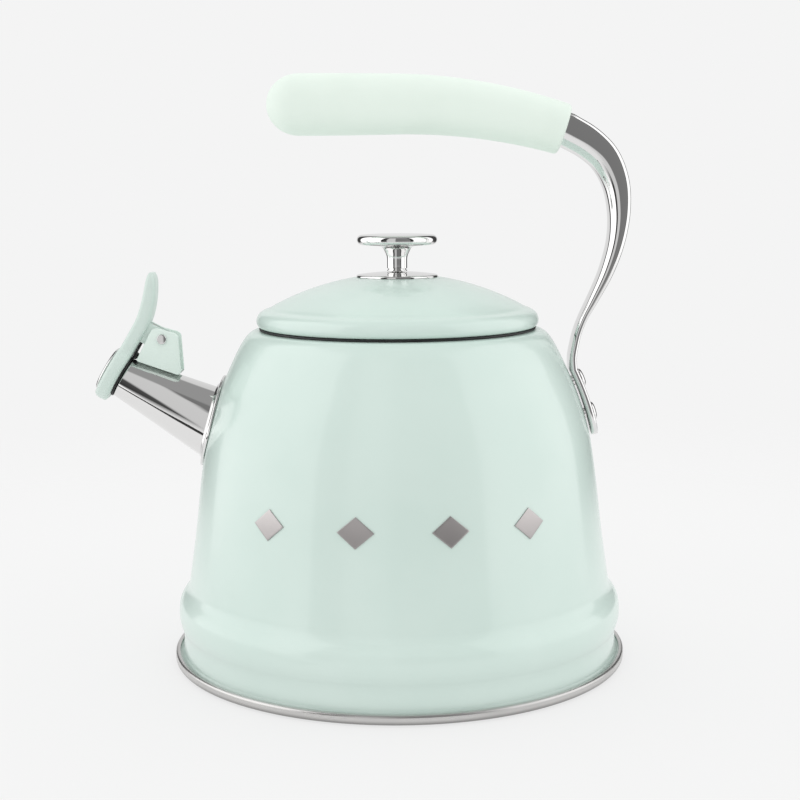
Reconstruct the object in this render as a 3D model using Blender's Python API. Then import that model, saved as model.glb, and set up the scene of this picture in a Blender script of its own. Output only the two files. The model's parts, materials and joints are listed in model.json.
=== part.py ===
"""Stovetop whistling kettle, modelled as the pieces it is assembled from.

Units are metres and +Z is up. The origin is the centre of the flat underside that stands on the hob.
The spout points along -X and the handle's arm rises at +X, both in the plane y = 0.
"""

import math

import bmesh
import bpy
import numpy as np
from mathutils import Matrix, Vector

MM = 0.001

# ---------------------------------------------------------------- clearances
GAP = 0.3 * MM                      # between pieces that touch or are welded together
HOLE_GAP = 0.35 * MM                # round a pin, shank or tang in its hole

# ---------------------------------------------------------------- round segments
BODY_SEGMENTS = 44
LID_SEGMENTS = 40
SPOUT_SEGMENTS = 32
SMALL_SEGMENTS = 24
TINY_SEGMENTS = 16

# ---------------------------------------------------------------- kettle wall
WALL_RADIUS = 96.2 * MM             # outside of the wall just above the foot
SHOULDER_HEIGHT = 145.0 * MM        # hob to the flat of the shoulder
WALL_THICKNESS = 1.0 * MM
MOUTH_RADIUS = 55.6 * MM            # inside of the turned-down neck
NECK_BEND_RADIUS = 1.8 * MM
NECK_DEPTH = 7.0 * MM
SHOULDER_FLAT = 4.2 * MM            # flat ring that the lid's rim rests on
FOOT_FLANGE_WIDTH = 2.1 * MM        # how far the wall's foot turns out
FOOT_FLANGE_TOP = 3.7 * MM
FOOT_BEND_RADIUS = 1.4 * MM
BEAD_BOTTOM = 15.2 * MM
BEAD_HEIGHT = 11.6 * MM
BEAD_PROUD = 1.4 * MM
BEAD_EDGE = 0.35 * MM              # how far the bead is eased at its top and bottom
WALL_SLOPE_REACH = 4.0 * MM         # span over which the wall's slope is taken
TAPER_START_HEIGHT = 33.0 * MM      # where the bead's step ends and the long taper starts
TAPER_START_INSET = 3.2 * MM        # how far the wall stands in there

# The taper and the dome above it: share of the way in to the shoulder, share of the way up to it.
WALL_CURVE = (
    (0.000, 0.000), (0.120, 0.264), (0.192, 0.433), (0.262, 0.583), (0.352, 0.679),
    (0.466, 0.774), (0.599, 0.859), (0.717, 0.931), (0.805, 0.973), (0.890, 0.993),
)

# ---------------------------------------------------------------- base
PAN_THICKNESS = 0.8 * MM
PAN_FLOOR_HEIGHT = 4.6 * MM         # underside of the pan's floor
RIM_WIDTH = 1.2 * MM                # rolled rim outside the foot flange
RIM_HEIGHT = 4.5 * MM
RIM_LIFT = 0.3 * MM                 # rim's lowest point above the hob
RIM_LIP = 0.5 * MM                  # thickness of the lip rolled over the flange
RIM_ROUND = 1.3 * MM                # outer rounding of the rolled rim
PAN_KNEE_WIDTH = 2.0 * MM           # bend from the rim's foot up to the floor
PAN_KNEE_RISE = 1.0 * MM
PAN_SLOPE_WIDTH = 4.5 * MM
PAN_EDGE = 0.8 * MM
CAP_EDGE = 1.0 * MM                 # bevel round the cap's lower edge
CAP_RADIUS = 80.0 * MM              # steel cap that closes over the core
CAP_THICKNESS = 0.6 * MM

# ---------------------------------------------------------------- spout
SPOUT_TILT = math.radians(27.6)     # axis above the horizontal
MOUTH_TILT = math.radians(30.5)     # mouth's plane, leaning back from the vertical
SPOUT_ROOT_HEIGHT = 104.4 * MM      # where the axis meets the wall, above the hob
SPOUT_LENGTH = 42.6 * MM            # from the wall to the mouth, along the axis
SPOUT_MOUTH_RADIUS = 9.1 * MM
SPOUT_HALF_ANGLE = math.radians(8.3)
SPOUT_WALL = 1.0 * MM
SPOUT_ROOT_OVERLAP = 10.0 * MM      # trimmed off to the wall's curve
SPOUT_HOLE_RADIUS = SPOUT_MOUTH_RADIUS + 2.9 * MM   # pouring hole in the wall
COLLAR_RADIUS = SPOUT_MOUTH_RADIUS + 11.4 * MM
COLLAR_THICKNESS = 1.0 * MM
SPOUT_LIP = 0.3 * MM                # rounding of the mouth's edge
CUT_REACH = 20.0 * MM               # how far a cutting shape reaches past what it cuts
CUT_DEPTH = 12.0 * MM               # how far it reaches on its short side
RIVET_CUT_DEPTH = 6.0 * MM          # reach of the rivet holes' cutting shapes into the wall
RIVET_CUT_RISE = 2.0 * MM

# ---------------------------------------------------------------- bracket and hinge
PIN_RADIUS = 1.5 * MM
PIN_HEAD_RADIUS = 2.2 * MM
PIN_HEAD_HEIGHT = 0.9 * MM
PIN_SETBACK = 7.9 * MM              # pin behind the mouth, along the spout's axis
PIN_RISE = 13.1 * MM                # pin above the cone's top line
EAR_SPACING = 7.8 * MM             # inside width between the ears
EAR_THICKNESS = 1.5 * MM
BRACKET_WEB = 1.5 * MM              # floor between the ears
EAR_FRONT = 5.9 * MM                # ear's edges measured from the pin
EAR_TOP_FRONT = 2.9 * MM
EAR_TOP_REAR = 5.2 * MM
EAR_TOP_LENGTH = 5.2 * MM
EAR_REAR = 14.7 * MM
EAR_CORNER = 2.2 * MM
EAR_FRONT_CORNER = 3.2 * MM
EAR_FOOT_FRONT_CORNER = 0.8 * MM
EAR_FOOT_REAR_CORNER = 1.6 * MM
PIN_EDGE = 0.25 * MM                # bevel of the pin's heads
SPRING_WIRE = 0.8 * MM
SPRING_TURNS = 2
SPRING_STEPS = 14                   # straight pieces in a turn

# ---------------------------------------------------------------- whistle cap
CAP_DISC_RADIUS = SPOUT_MOUTH_RADIUS + 4.1 * MM
CAP_DISC_THICKNESS = 6.0 * MM
LEVER_WIDTH = CAP_DISC_RADIUS - 0.7 * MM
LEVER_RISE = 22.8 * MM              # tip above the pin, along the cap's plane
LEVER_TIP_THICKNESS = 3.4 * MM
LEVER_SWEEP = 7.3 * MM              # how far the tip curls away from the handle
LEVER_CURL = 1.68                   # power of the curl along the lever
LEVER_THINNING = 2.5                # power of its thinning towards the tip
LEVER_EDGE = 1.9 * MM
CHEEK_THICKNESS = 1.5 * MM
CHEEK_RADIUS = 4.0 * MM
CHEEK_DROP = 6.0 * MM
CHEEK_BITE = 1.6 * MM               # how far the cheeks run into the lever
CHEEK_CORNER = 0.3 * MM             # corners where the cheek meets the lever
CHEEK_FOOT_CORNER = 1.5 * MM
CHEEK_ROUND_SHARE = 0.95            # rounding behind the pin, as a share of the radius
CHEEK_FOOT_SHARE = 0.9              # foot's reach behind the pin, as a share of the radius
DISC_FOOT_SHARE = 0.62              # disc's thickness at its lowest edge, as a share
DISC_FOOT_RISE = 3.0 * MM           # height over which it thickens
WHISTLE_BORE = SPOUT_MOUTH_RADIUS - 1.5 * MM    # radius of the way through the cap
WHISTLE_DISC_RADIUS = SPOUT_MOUTH_RADIUS + 1.0 * MM
WHISTLE_DISC_RISE = 1.3 * MM
WHISTLE_SHEET = 0.6 * MM
WHISTLE_SKIRT = 4.0 * MM
WHISTLE_HOLE_RADIUS = 1.6 * MM
WHISTLE_CHAMBER = 3.0 * MM
# The whistle's front disc: share of its radius, and how far it falls below its middle.
WHISTLE_DOME = ((0.5, 0.12 * MM), (0.82, 0.55 * MM))
WHISTLE_EDGE_SHARE = 0.97
WHISTLE_EDGE_HEIGHTS = (0.3 * MM, 0.8 * MM)     # of the rolled edge above the cap's face
WHISTLE_EDGE_WIDTH = 0.2 * MM
WHISTLE_INNER_SHARE = 0.45
WHISTLE_INNER_DROP = 0.6 * MM
GASKET_RADIUS = SPOUT_MOUTH_RADIUS + 1.2 * MM
GASKET_THICKNESS = 0.7 * MM
GASKET_COVER = 0.9 * MM             # how far it covers the mouth inside the cone's wall
TAB_REACH = 1.0 * MM                # gasket's tab over the top of the cone, behind the mouth
TAB_RISE = 2.6 * MM
TAB_WIDTH = 4.0 * MM
TAB_CORNER = 0.2 * MM

# ---------------------------------------------------------------- handle
STRAP_BOTTOM_DROP = 47.6 * MM       # strap's lower end below the shoulder
STRAP_TOP_DROP = 19.0 * MM          # where the arm leaves the wall, below the shoulder
STRAP_THICKNESS = 3.0 * MM
STRAP_STANDOFF = 0.6 * MM           # strap's inner face off the wall's tangent plane
STRAP_WIDTH = 22.0 * MM
STRAP_END_RADIUS = 9.0 * MM
STRAP_NECK_WIDTH = 17.0 * MM        # strap's width where the arm leaves
STRAP_STATIONS = (0.0, 1.5 * MM, 4.0 * MM)      # sections along the rounded end
STRAP_SHARES = (0.5, 0.68, 0.86, 1.0)           # and along the rest
ARM_RISE = 103.2 * MM               # from there up to the grip's end
ARM_REACH = 19.3 * MM               # how far the arm swings out
ARM_EDGE = 3.0 * MM
ARM_STEPS = 2
GRIP_LENGTH = 129.0 * MM
GRIP_END_ANGLE = math.radians(17.6)
GRIP_BEND_RADIUS = 240.0 * MM
GRIP_HEIGHT_END = 22.0 * MM         # section at the arm's end
GRIP_HEIGHT_NOSE = 26.4 * MM        # section at the free end
GRIP_WIDTH_END = 22.0 * MM
GRIP_WIDTH_NOSE = 25.0 * MM
GRIP_NOSE_LENGTH = 14.0 * MM
GRIP_END_ROUND = 1.6 * MM
SOCKET_DEPTH = 6.0 * MM             # how far the full arm reaches into the grip
TANG_LENGTH = 84.0 * MM
TANG_HEIGHT = 9.0 * MM
TANG_WIDTH = 11.0 * MM
RIVET_RADIUS = 2.4 * MM
RIVET_HEAD_RADIUS = 4.3 * MM
RIVET_HEAD_HEIGHT = 1.9 * MM
RIVET_TAIL_HEIGHT = 1.2 * MM
RIVET_DROPS = {"handle_rivet_upper": 23.7 * MM, "handle_rivet_lower": 38.2 * MM}

# The arm: share of the rise, share of the reach, thickness and width across.
ARM_CURVE = (
    (0.051, -0.008, 2.9 * MM, 15.2 * MM), (0.100, 0.034, 2.9 * MM, 14.0 * MM),
    (0.148, 0.091, 2.9 * MM, 13.4 * MM), (0.216, 0.226, 3.1 * MM, 13.4 * MM),
    (0.285, 0.418, 3.9 * MM, 14.0 * MM), (0.422, 0.761, 5.7 * MM, 15.2 * MM),
    (0.549, 0.953, 7.1 * MM, 16.0 * MM), (0.670, 1.000, 9.0 * MM, 16.7 * MM),
    (0.788, 0.901, 11.1 * MM, 17.2 * MM), (0.891, 0.610, 13.0 * MM, 17.5 * MM),
    (0.945, 0.283, 13.9 * MM, 17.7 * MM), (1.000, -0.231, 14.6 * MM, 18.0 * MM),
)

# ---------------------------------------------------------------- lid
LID_SHEET = 0.8 * MM
LID_DOME_RADIUS = 115.0 * MM
LID_RIM_OVERHANG = 5.9 * MM         # widest part of the rim outside the mouth's radius
LID_CREASE_INSET = 5.2 * MM         # crease inside the widest part
LID_CREASE_RISE = 8.4 * MM          # crease above the rim's foot
LID_DOME_RISE = 23.5 * MM           # crown above the rim's foot
LID_FOOT_OVERLAP = 1.6 * MM         # foot's inner edge outside the mouth
# The rim's outline: inside its widest part, above its foot.
LID_RIM = ((2.2 * MM, 0.0), (0.8 * MM, 1.0 * MM), (0.0, 3.2 * MM), (0.4 * MM, 5.2 * MM),
           (1.4 * MM, 6.7 * MM), (3.2 * MM, 7.8 * MM))
LID_DOME_START = 2.6 * MM           # dome's edge inside the crease
SKIRT_GAP = 2.4 * MM                # skirt inside the neck, filled by the seal
SKIRT_SHEET = 0.8 * MM
SKIRT_DEPTH = 6.8 * MM              # skirt below the shoulder
SKIRT_FLANGE = 6.0 * MM
SKIRT_BEND = 1.2 * MM
SKIRT_BEAD_WIDTH = 1.2 * MM         # bead that holds the seal up
SKIRT_BEAD_RISE = 0.5 * MM
SKIRT_BEAD_TOP = 1.0 * MM
SEAL_EDGE = 0.5 * MM                # how far the seal's lips fall back from its middle
SEAL_HEIGHT = 3.0 * MM
SEAL_SQUEEZE_GAP = 0.4 * MM
LID_SCREW_RADIUS = 2.0 * MM
LID_SCREW_HEAD_RADIUS = 3.6 * MM
LID_SCREW_HEAD_HEIGHT = 2.2 * MM
LID_SCREW_GRIP = 7.0 * MM           # thread inside the knob
WASHER_RADIUS = 6.5 * MM
WASHER_THICKNESS = 0.8 * MM
KNOB_PLATE_RADIUS = 17.75 * MM
KNOB_PLATE_THICKNESS = 0.7 * MM
KNOB_STEM_RADIUS = 4.4 * MM
KNOB_GROOVE = 0.45 * MM
KNOB_RADIUS = 17.5 * MM
KNOB_RIM = 4.8 * MM
KNOB_HEIGHT = 16.2 * MM             # above its plate
KNOB_PLATE_EDGE = 0.4 * MM
KNOB_CROWN = 0.3 * MM               # disc's edge below its middle
KNOB_CROWN_SHARE = 0.6
KNOB_CROWN_DROP = 0.05 * MM
KNOB_RIM_SHARE = 0.45               # radius of the disc's edge, as a share of its thickness
# The stem's foot groove (deeper in by KNOB_GROOVE between the middle heights) and its straight top.
KNOB_GROOVE_HEIGHTS = (0.3 * MM, 0.5 * MM, 0.9 * MM, 1.1 * MM)
KNOB_STEM_TOP = 5.4 * MM
KNOB_FLARE_START = (0.6 * MM, 7.2 * MM)         # out from the stem, above the foot
KNOB_FLARE_MIDDLE = (2.1 * MM, 0.5 * MM)        # out from the stem, below the disc
KNOB_FLARE_END = 4.0 * MM
DRILL_POINT = 1.0 * MM
SCREW_EDGE = 0.6 * MM
SCREW_HEAD_RISE = 1.0 * MM
SCREW_HEAD_SHARE = 0.75


# ================================================================= helpers

def clear_scene():
    """Remove every object, mesh and curve left in the file."""
    for item in list(bpy.data.objects):
        bpy.data.objects.remove(item, do_unlink=True)


def finish(name, color, roughness, metallic):
    """A Principled material of one colour."""
    material = bpy.data.materials.new(name)
    material.use_nodes = True
    shader = material.node_tree.nodes["Principled BSDF"]
    shader.inputs["Base Color"].default_value = (*color, 1.0)
    shader.inputs["Roughness"].default_value = roughness
    shader.inputs["Metallic"].default_value = metallic
    material.diffuse_color = (*color, 1.0)
    return material


def smooth_path(points, steps):
    """Points along a smooth curve through the given ones, with steps between each pair."""
    given = np.array(points, dtype=float)
    lengths = np.linalg.norm(np.diff(given[:, :2], axis=0), axis=1)
    at = np.concatenate(([0.0], np.cumsum(lengths)))
    slopes = np.gradient(given, at, axis=0)
    path = []
    for i, length in enumerate(lengths):
        for step in range(steps):
            t = step / steps
            ahead = t * t * (3.0 - 2.0 * t)
            path.append(given[i] * (1.0 - ahead) + given[i + 1] * ahead
                        + slopes[i] * length * t * (1.0 - t) ** 2
                        - slopes[i + 1] * length * t * t * (1.0 - t))
    path.append(given[-1])
    return [tuple(point) for point in path]


def offset_path(path, distance):
    """The same path moved to its left by distance, with its corners kept."""
    points = [Vector(point) for point in path]
    moved = []
    for i, point in enumerate(points):
        before = points[max(i - 1, 0)]
        after = points[min(i + 1, len(points) - 1)]
        into = (point - before).normalized() if i > 0 else (after - point).normalized()
        out = (after - point).normalized() if i < len(points) - 1 else into
        left_in = Vector((-into.y, into.x))
        left_out = Vector((-out.y, out.x))
        middle = (left_in + left_out).normalized()
        moved.append(tuple(point + middle * (distance / max(middle.dot(left_in), 0.5))))
    return moved


def arc(center, radius, start, end, steps):
    """Points along a circle's arc, from angle start to angle end in degrees."""
    angles = np.radians(np.linspace(start, end, steps + 1))
    return [(center[0] + radius * math.cos(a), center[1] + radius * math.sin(a)) for a in angles]


def rounded_polygon(corners, steps):
    """A closed outline from (x, z, radius) corners, each turned into an arc."""
    outline = []
    count = len(corners)
    for i, (x, z, radius) in enumerate(corners):
        corner = Vector((x, z))
        back = (Vector(corners[i - 1][:2]) - corner).normalized()
        ahead = (Vector(corners[(i + 1) % count][:2]) - corner).normalized()
        half = back.angle(ahead) / 2.0
        reach = radius / math.tan(half)
        center = corner + (back + ahead).normalized() * (radius / math.sin(half))
        start = corner + back * reach - center
        turn = math.pi - 2.0 * half
        side = 1.0 if back.cross(ahead) < 0.0 else -1.0
        for step in range(steps + 1):
            angle = side * turn * step / steps
            spun = Matrix.Rotation(angle, 2) @ start
            outline.append(tuple(center + spun))
    return outline


def revolve(profile, segments, closed=True):
    """A mesh of (radius, height) points turned about Z; an open profile ends on the axis."""
    mesh = bmesh.new()
    verts = [mesh.verts.new((radius, 0.0, height)) for radius, height in profile]
    edges = [mesh.edges.new(pair) for pair in zip(verts, verts[1:])]
    if closed:
        edges.append(mesh.edges.new((verts[-1], verts[0])))
    bmesh.ops.spin(mesh, geom=verts + edges, cent=(0.0, 0.0, 0.0), axis=(0.0, 0.0, 1.0),
                   angle=2.0 * math.pi, steps=segments, use_merge=True)
    bmesh.ops.remove_doubles(mesh, verts=mesh.verts, dist=0.001 * MM)
    bmesh.ops.recalc_face_normals(mesh, faces=mesh.faces)
    return mesh


def loft(rings):
    """A closed mesh through rings of points, with a flat face on its first and last ring."""
    mesh = bmesh.new()
    loops = []
    for ring in rings:
        verts = [mesh.verts.new(point) for point in ring]
        loops.append([mesh.edges.new(pair) for pair in zip(verts, verts[1:] + verts[:1])])
    for near, far in zip(loops, loops[1:]):
        bmesh.ops.bridge_loops(mesh, edges=near + far)
    for end in (loops[0], loops[-1]):
        bmesh.ops.contextual_create(mesh, geom=end)
    bmesh.ops.recalc_face_normals(mesh, faces=mesh.faces)
    return mesh


def slab(outline, low, high):
    """An outline of (x, z) points made solid from y = low to y = high."""
    mesh = bmesh.new()
    face = mesh.faces.new([mesh.verts.new((x, low, z)) for x, z in outline])
    side = bmesh.ops.extrude_face_region(mesh, geom=[face])
    raised = [item for item in side["geom"] if isinstance(item, bmesh.types.BMVert)]
    bmesh.ops.translate(mesh, vec=(0.0, high - low, 0.0), verts=raised)
    bmesh.ops.recalc_face_normals(mesh, faces=mesh.faces)
    return mesh


def rod(radius, low, high, segments):
    """A plain cylinder about Z between two heights."""
    return revolve([(0.0, low), (radius, low), (radius, high), (0.0, high)], segments, closed=False)


def rounded_section(width, thickness, corner, steps=3):
    """Points of a rounded rectangle, as (across, through) pairs."""
    radius = min(corner, 0.42 * thickness, 0.42 * width)
    across = width / 2.0 - radius
    through = thickness / 2.0 - radius
    points = []
    for quarter, (side, top) in enumerate(((1, 1), (-1, 1), (-1, -1), (1, -1))):
        points += arc((side * across, top * through), radius, 90 * quarter, 90 * quarter + 90, steps)
    return points


def oval_section(width, height, power, steps):
    """Points of an oval between an ellipse (power 2) and a rectangle, as (across, through) pairs."""
    points = []
    for step in range(steps):
        angle = 2.0 * math.pi * step / steps
        c, s = math.cos(angle), math.sin(angle)
        points.append((width / 2.0 * math.copysign(abs(c) ** (2.0 / power), c),
                       height / 2.0 * math.copysign(abs(s) ** (2.0 / power), s)))
    return points


def stand_section(section, point, heading):
    """Place a section at (x, z), square to a heading in the XZ plane; its through side is left of it."""
    direction = Vector(heading).normalized()
    left = Vector((-direction.y, direction.x))
    return [(point[0] + left.x * through, across, point[1] + left.y * through)
            for across, through in section]


def headings(points):
    """The direction of a path at each of its points."""
    path = np.array(points, dtype=float)
    return [tuple(way) for way in np.gradient(path, axis=0)]


def add_object(name, mesh, material=None, parent=None, matrix=None, smooth=True):
    """Put a mesh in the scene as one named object."""
    data = bpy.data.meshes.new(name)
    mesh.to_mesh(data)
    mesh.free()
    if smooth:
        data.shade_smooth()
        data.set_sharp_from_angle(angle=math.radians(35.0))
    if material:
        data.materials.append(material)
    item = bpy.data.objects.new(name, data)
    bpy.context.collection.objects.link(item)
    item.parent = parent
    if matrix:
        item.matrix_local = matrix
    return item


def add_frame(name, place, tilt=0.0):
    """An empty at a place in the plane y = 0, turned about Y."""
    frame = bpy.data.objects.new(name, None)
    bpy.context.collection.objects.link(frame)
    frame.location = (place[0], 0.0, place[1])
    frame.rotation_euler = (0.0, tilt, 0.0)
    return frame


def frame_matrix(place, tilt):
    """The matrix of an empty made by add_frame."""
    return Matrix.Translation((place[0], 0.0, place[1])) @ Matrix.Rotation(tilt, 4, "Y")


def combine(target, other, operation):
    """Add an exact Boolean, and turn the other object into a hidden guide."""
    other.hide_render = True
    other.display_type = "WIRE"
    modifier = target.modifiers.new(f"{operation.lower()}_{other.name}", "BOOLEAN")
    modifier.operation = operation
    modifier.solver = "EXACT"
    modifier.object = other


ALONG_X = Matrix.Rotation(math.radians(90.0), 4, "Y")      # turns +Z to +X
AGAINST_X = Matrix.Rotation(math.radians(-90.0), 4, "Y")   # turns +Z to -X
ALONG_Y = Matrix.Rotation(math.radians(-90.0), 4, "X")     # turns +Z to +Y


# ================================================================= wall shape

def wall_outline():
    """The wall's outside from the foot flange up and over the shoulder, down into the neck."""
    flange_edge = WALL_RADIUS + FOOT_FLANGE_WIDTH
    bead_top = BEAD_BOTTOM + BEAD_HEIGHT
    bead_radius = WALL_RADIUS + BEAD_PROUD
    foot_bend = (WALL_RADIUS + FOOT_BEND_RADIUS, FOOT_FLANGE_TOP + FOOT_BEND_RADIUS)
    foot = [(flange_edge, FOOT_FLANGE_TOP)] + arc(foot_bend, FOOT_BEND_RADIUS, 270.0, 180.0, 2)
    bead = [(WALL_RADIUS, BEAD_BOTTOM), (bead_radius - BEAD_EDGE, BEAD_BOTTOM + BEAD_PROUD * 1.3),
            (bead_radius, BEAD_BOTTOM + BEAD_PROUD * 2.6), (bead_radius, bead_top - BEAD_PROUD * 1.4),
            (bead_radius - BEAD_EDGE, bead_top - BEAD_PROUD * 0.4)]
    neck_top = SHOULDER_HEIGHT
    bend_center = (MOUTH_RADIUS + NECK_BEND_RADIUS, neck_top - NECK_BEND_RADIUS)
    neck = arc(bend_center, NECK_BEND_RADIUS, 90.0, 180.0, 2) + [(MOUTH_RADIUS, neck_top - NECK_DEPTH)]
    shoulder = (MOUTH_RADIUS + SHOULDER_FLAT, neck_top)
    return foot + bead + main_curve() + [shoulder] + neck


def main_curve():
    """The long taper and the dome, from the bead's step up to the shoulder."""
    start = (WALL_RADIUS - TAPER_START_INSET, TAPER_START_HEIGHT)
    end = (MOUTH_RADIUS + SHOULDER_FLAT, SHOULDER_HEIGHT)
    keys = [(start[0] + (end[0] - start[0]) * inward, start[1] + (end[1] - start[1]) * upward)
            for inward, upward in WALL_CURVE]
    return keys


def wall_radius_at(height):
    """Outside radius of the wall at a height on the taper or the dome."""
    curve = np.array(main_curve())
    return float(np.interp(height, curve[:, 1], curve[:, 0]))


def wall_place(height):
    """A point on the wall's outside in the XZ plane and the outward direction there."""
    reach = WALL_SLOPE_REACH
    lower = Vector((wall_radius_at(height - reach), height - reach))
    upper = Vector((wall_radius_at(height + reach), height + reach))
    along = (upper - lower).normalized()
    return Vector((wall_radius_at(height), height)), Vector((along.y, -along.x))


def make_wall_guide(name, growth, parent=None):
    """A solid with the wall's outside shape, grown by a clearance, to trim what meets the wall."""
    outline = offset_path(main_curve(), -growth)
    profile = [(0.0, outline[0][1])] + outline + [(0.0, outline[-1][1])]
    return add_object(name, revolve(profile, BODY_SEGMENTS, closed=False), parent=parent)


# ================================================================= kettle body

def make_body(material):
    """The enamelled wall, with holes for the spout and the rivets."""
    outside = wall_outline()
    inside = offset_path(outside, WALL_THICKNESS)
    body = add_object("body_shell", revolve(outside + inside[::-1], BODY_SEGMENTS), material)
    spout_hole = add_object("guide_spout_hole",
                            rod(SPOUT_HOLE_RADIUS, -CUT_REACH, CUT_DEPTH, SMALL_SEGMENTS),
                            matrix=spout_root_matrix() @ AGAINST_X)
    combine(body, spout_hole, "DIFFERENCE")
    for name, drop in RIVET_DROPS.items():
        hole = add_object(f"guide_wall_{name}",
                          rod(RIVET_RADIUS + HOLE_GAP, -RIVET_CUT_DEPTH, RIVET_CUT_RISE, TINY_SEGMENTS),
                          matrix=rivet_matrix(drop))
        combine(body, hole, "DIFFERENCE")
    return body


def make_base(steel, aluminium):
    """The pan with its rolled rim, the heat-spreading core and the cap over the core."""
    flange_edge = WALL_RADIUS + FOOT_FLANGE_WIDTH
    rim_radius = flange_edge + GAP + RIM_WIDTH
    groove_low = FOOT_FLANGE_TOP - WALL_THICKNESS - GAP
    groove_high = FOOT_FLANGE_TOP + GAP
    wall_inside = WALL_RADIUS - WALL_THICKNESS - GAP
    floor_top = PAN_FLOOR_HEIGHT + PAN_THICKNESS
    lip_inside = flange_edge - RIM_LIP
    outer = arc((rim_radius - RIM_ROUND, RIM_HEIGHT - RIM_ROUND), RIM_ROUND, 90.0, 0.0, 3)
    outer += arc((rim_radius - RIM_ROUND, RIM_LIFT + RIM_ROUND), RIM_ROUND, 0.0, -90.0, 3)
    pan = [(0.0, floor_top), (wall_inside, floor_top), (wall_inside, groove_low),
           (flange_edge + GAP, groove_low), (flange_edge + GAP, groove_high), (lip_inside, groove_high),
           (lip_inside, groove_high + RIM_LIP * 0.6)] + outer
    pan += [(wall_inside - PAN_EDGE, RIM_LIFT),
            (wall_inside - PAN_KNEE_WIDTH, RIM_LIFT + PAN_KNEE_RISE),
            (wall_inside - PAN_SLOPE_WIDTH, PAN_FLOOR_HEIGHT), (0.0, PAN_FLOOR_HEIGHT)]
    add_object("base_pan", revolve(pan, BODY_SEGMENTS, closed=False), steel)

    cap_top = PAN_FLOOR_HEIGHT - GAP
    inner = CAP_RADIUS - CAP_THICKNESS
    edge = CAP_EDGE
    cap = [(0.0, CAP_THICKNESS), (inner, CAP_THICKNESS), (inner, cap_top), (CAP_RADIUS, cap_top),
           (CAP_RADIUS, edge), (CAP_RADIUS - edge * 0.3, edge * 0.3), (CAP_RADIUS - edge, 0.0), (0.0, 0.0)]
    add_object("base_cap", revolve(cap, BODY_SEGMENTS, closed=False), steel)
    core = [(0.0, CAP_THICKNESS + GAP), (inner - GAP, CAP_THICKNESS + GAP), (inner - GAP, cap_top),
            (0.0, cap_top)]
    add_object("base_core", revolve(core, BODY_SEGMENTS, closed=False), aluminium)


# ================================================================= spout

def spout_root():
    """Where the spout's axis meets the wall's outside, at -X."""
    return Vector((-wall_radius_at(SPOUT_ROOT_HEIGHT), SPOUT_ROOT_HEIGHT))


def spout_mouth():
    """Centre of the spout's mouth."""
    return spout_root() + Vector((-math.cos(SPOUT_TILT), math.sin(SPOUT_TILT))) * SPOUT_LENGTH


def spout_root_matrix():
    """Frame at the spout's root: -X runs out along the spout."""
    return frame_matrix(spout_root(), SPOUT_TILT)


def cone_radius(depth):
    """Outside radius of the cone, at a depth behind the mouth."""
    return SPOUT_MOUTH_RADIUS + depth * math.tan(SPOUT_HALF_ANGLE)


def make_spout(steel):
    """The cone and the collar that follows the wall round its root. Returns the frame at the mouth."""
    frame = add_frame("spout_frame", spout_mouth(), SPOUT_TILT)
    length = SPOUT_LENGTH + SPOUT_ROOT_OVERLAP
    lip = SPOUT_LIP
    outside = [(cone_radius(0.0) - lip, 0.0), (cone_radius(lip), lip), (cone_radius(length), length)]
    inside = [(cone_radius(length) - SPOUT_WALL, length), (cone_radius(lip) - SPOUT_WALL, lip),
              (cone_radius(0.0) - SPOUT_WALL + lip, 0.0)]
    mesh = revolve(outside + inside, SPOUT_SEGMENTS)
    bmesh.ops.transform(mesh, matrix=ALONG_X, verts=mesh.verts)
    for vert in mesh.verts:
        if vert.co.x < 2.0 * lip:
            vert.co.x += vert.co.z * math.tan(MOUTH_TILT - SPOUT_TILT)
    tube = add_object("spout_tube", mesh, steel, parent=frame)
    combine(tube, make_wall_guide("guide_wall_for_spout", GAP), "DIFFERENCE")

    point, outward = wall_place(SPOUT_ROOT_HEIGHT)
    lean = math.atan2(outward.y, outward.x)
    collar = add_object("spout_collar",
                        rod(COLLAR_RADIUS, -COLLAR_RADIUS, COLLAR_RADIUS / 2.0, SPOUT_SEGMENTS),
                        steel, matrix=frame_matrix((-point.x, point.y), lean) @ AGAINST_X)
    combine(collar, make_wall_guide("guide_collar_face", GAP + COLLAR_THICKNESS), "INTERSECT")
    combine(collar, make_wall_guide("guide_wall_for_collar", GAP), "DIFFERENCE")
    cone = revolve([(0.0, 0.0), (cone_radius(0.0) + GAP, 0.0), (cone_radius(length) + GAP, length),
                    (0.0, length)], SPOUT_SEGMENTS, closed=False)
    bmesh.ops.transform(cone, matrix=ALONG_X, verts=cone.verts)
    combine(collar, add_object("guide_cone", cone, parent=frame), "DIFFERENCE")
    return frame


# ================================================================= bracket and hinge

def pin_place():
    """The pin's centre in the spout's frame, as (depth behind the mouth, height above the axis)."""
    return Vector((PIN_SETBACK, cone_radius(PIN_SETBACK) + PIN_RISE))


def pin_in_world():
    """The pin's centre in the XZ plane."""
    place = frame_matrix(spout_mouth(), SPOUT_TILT) @ Vector((pin_place().x, 0.0, pin_place().y))
    return Vector((place.x, place.z))


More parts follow.
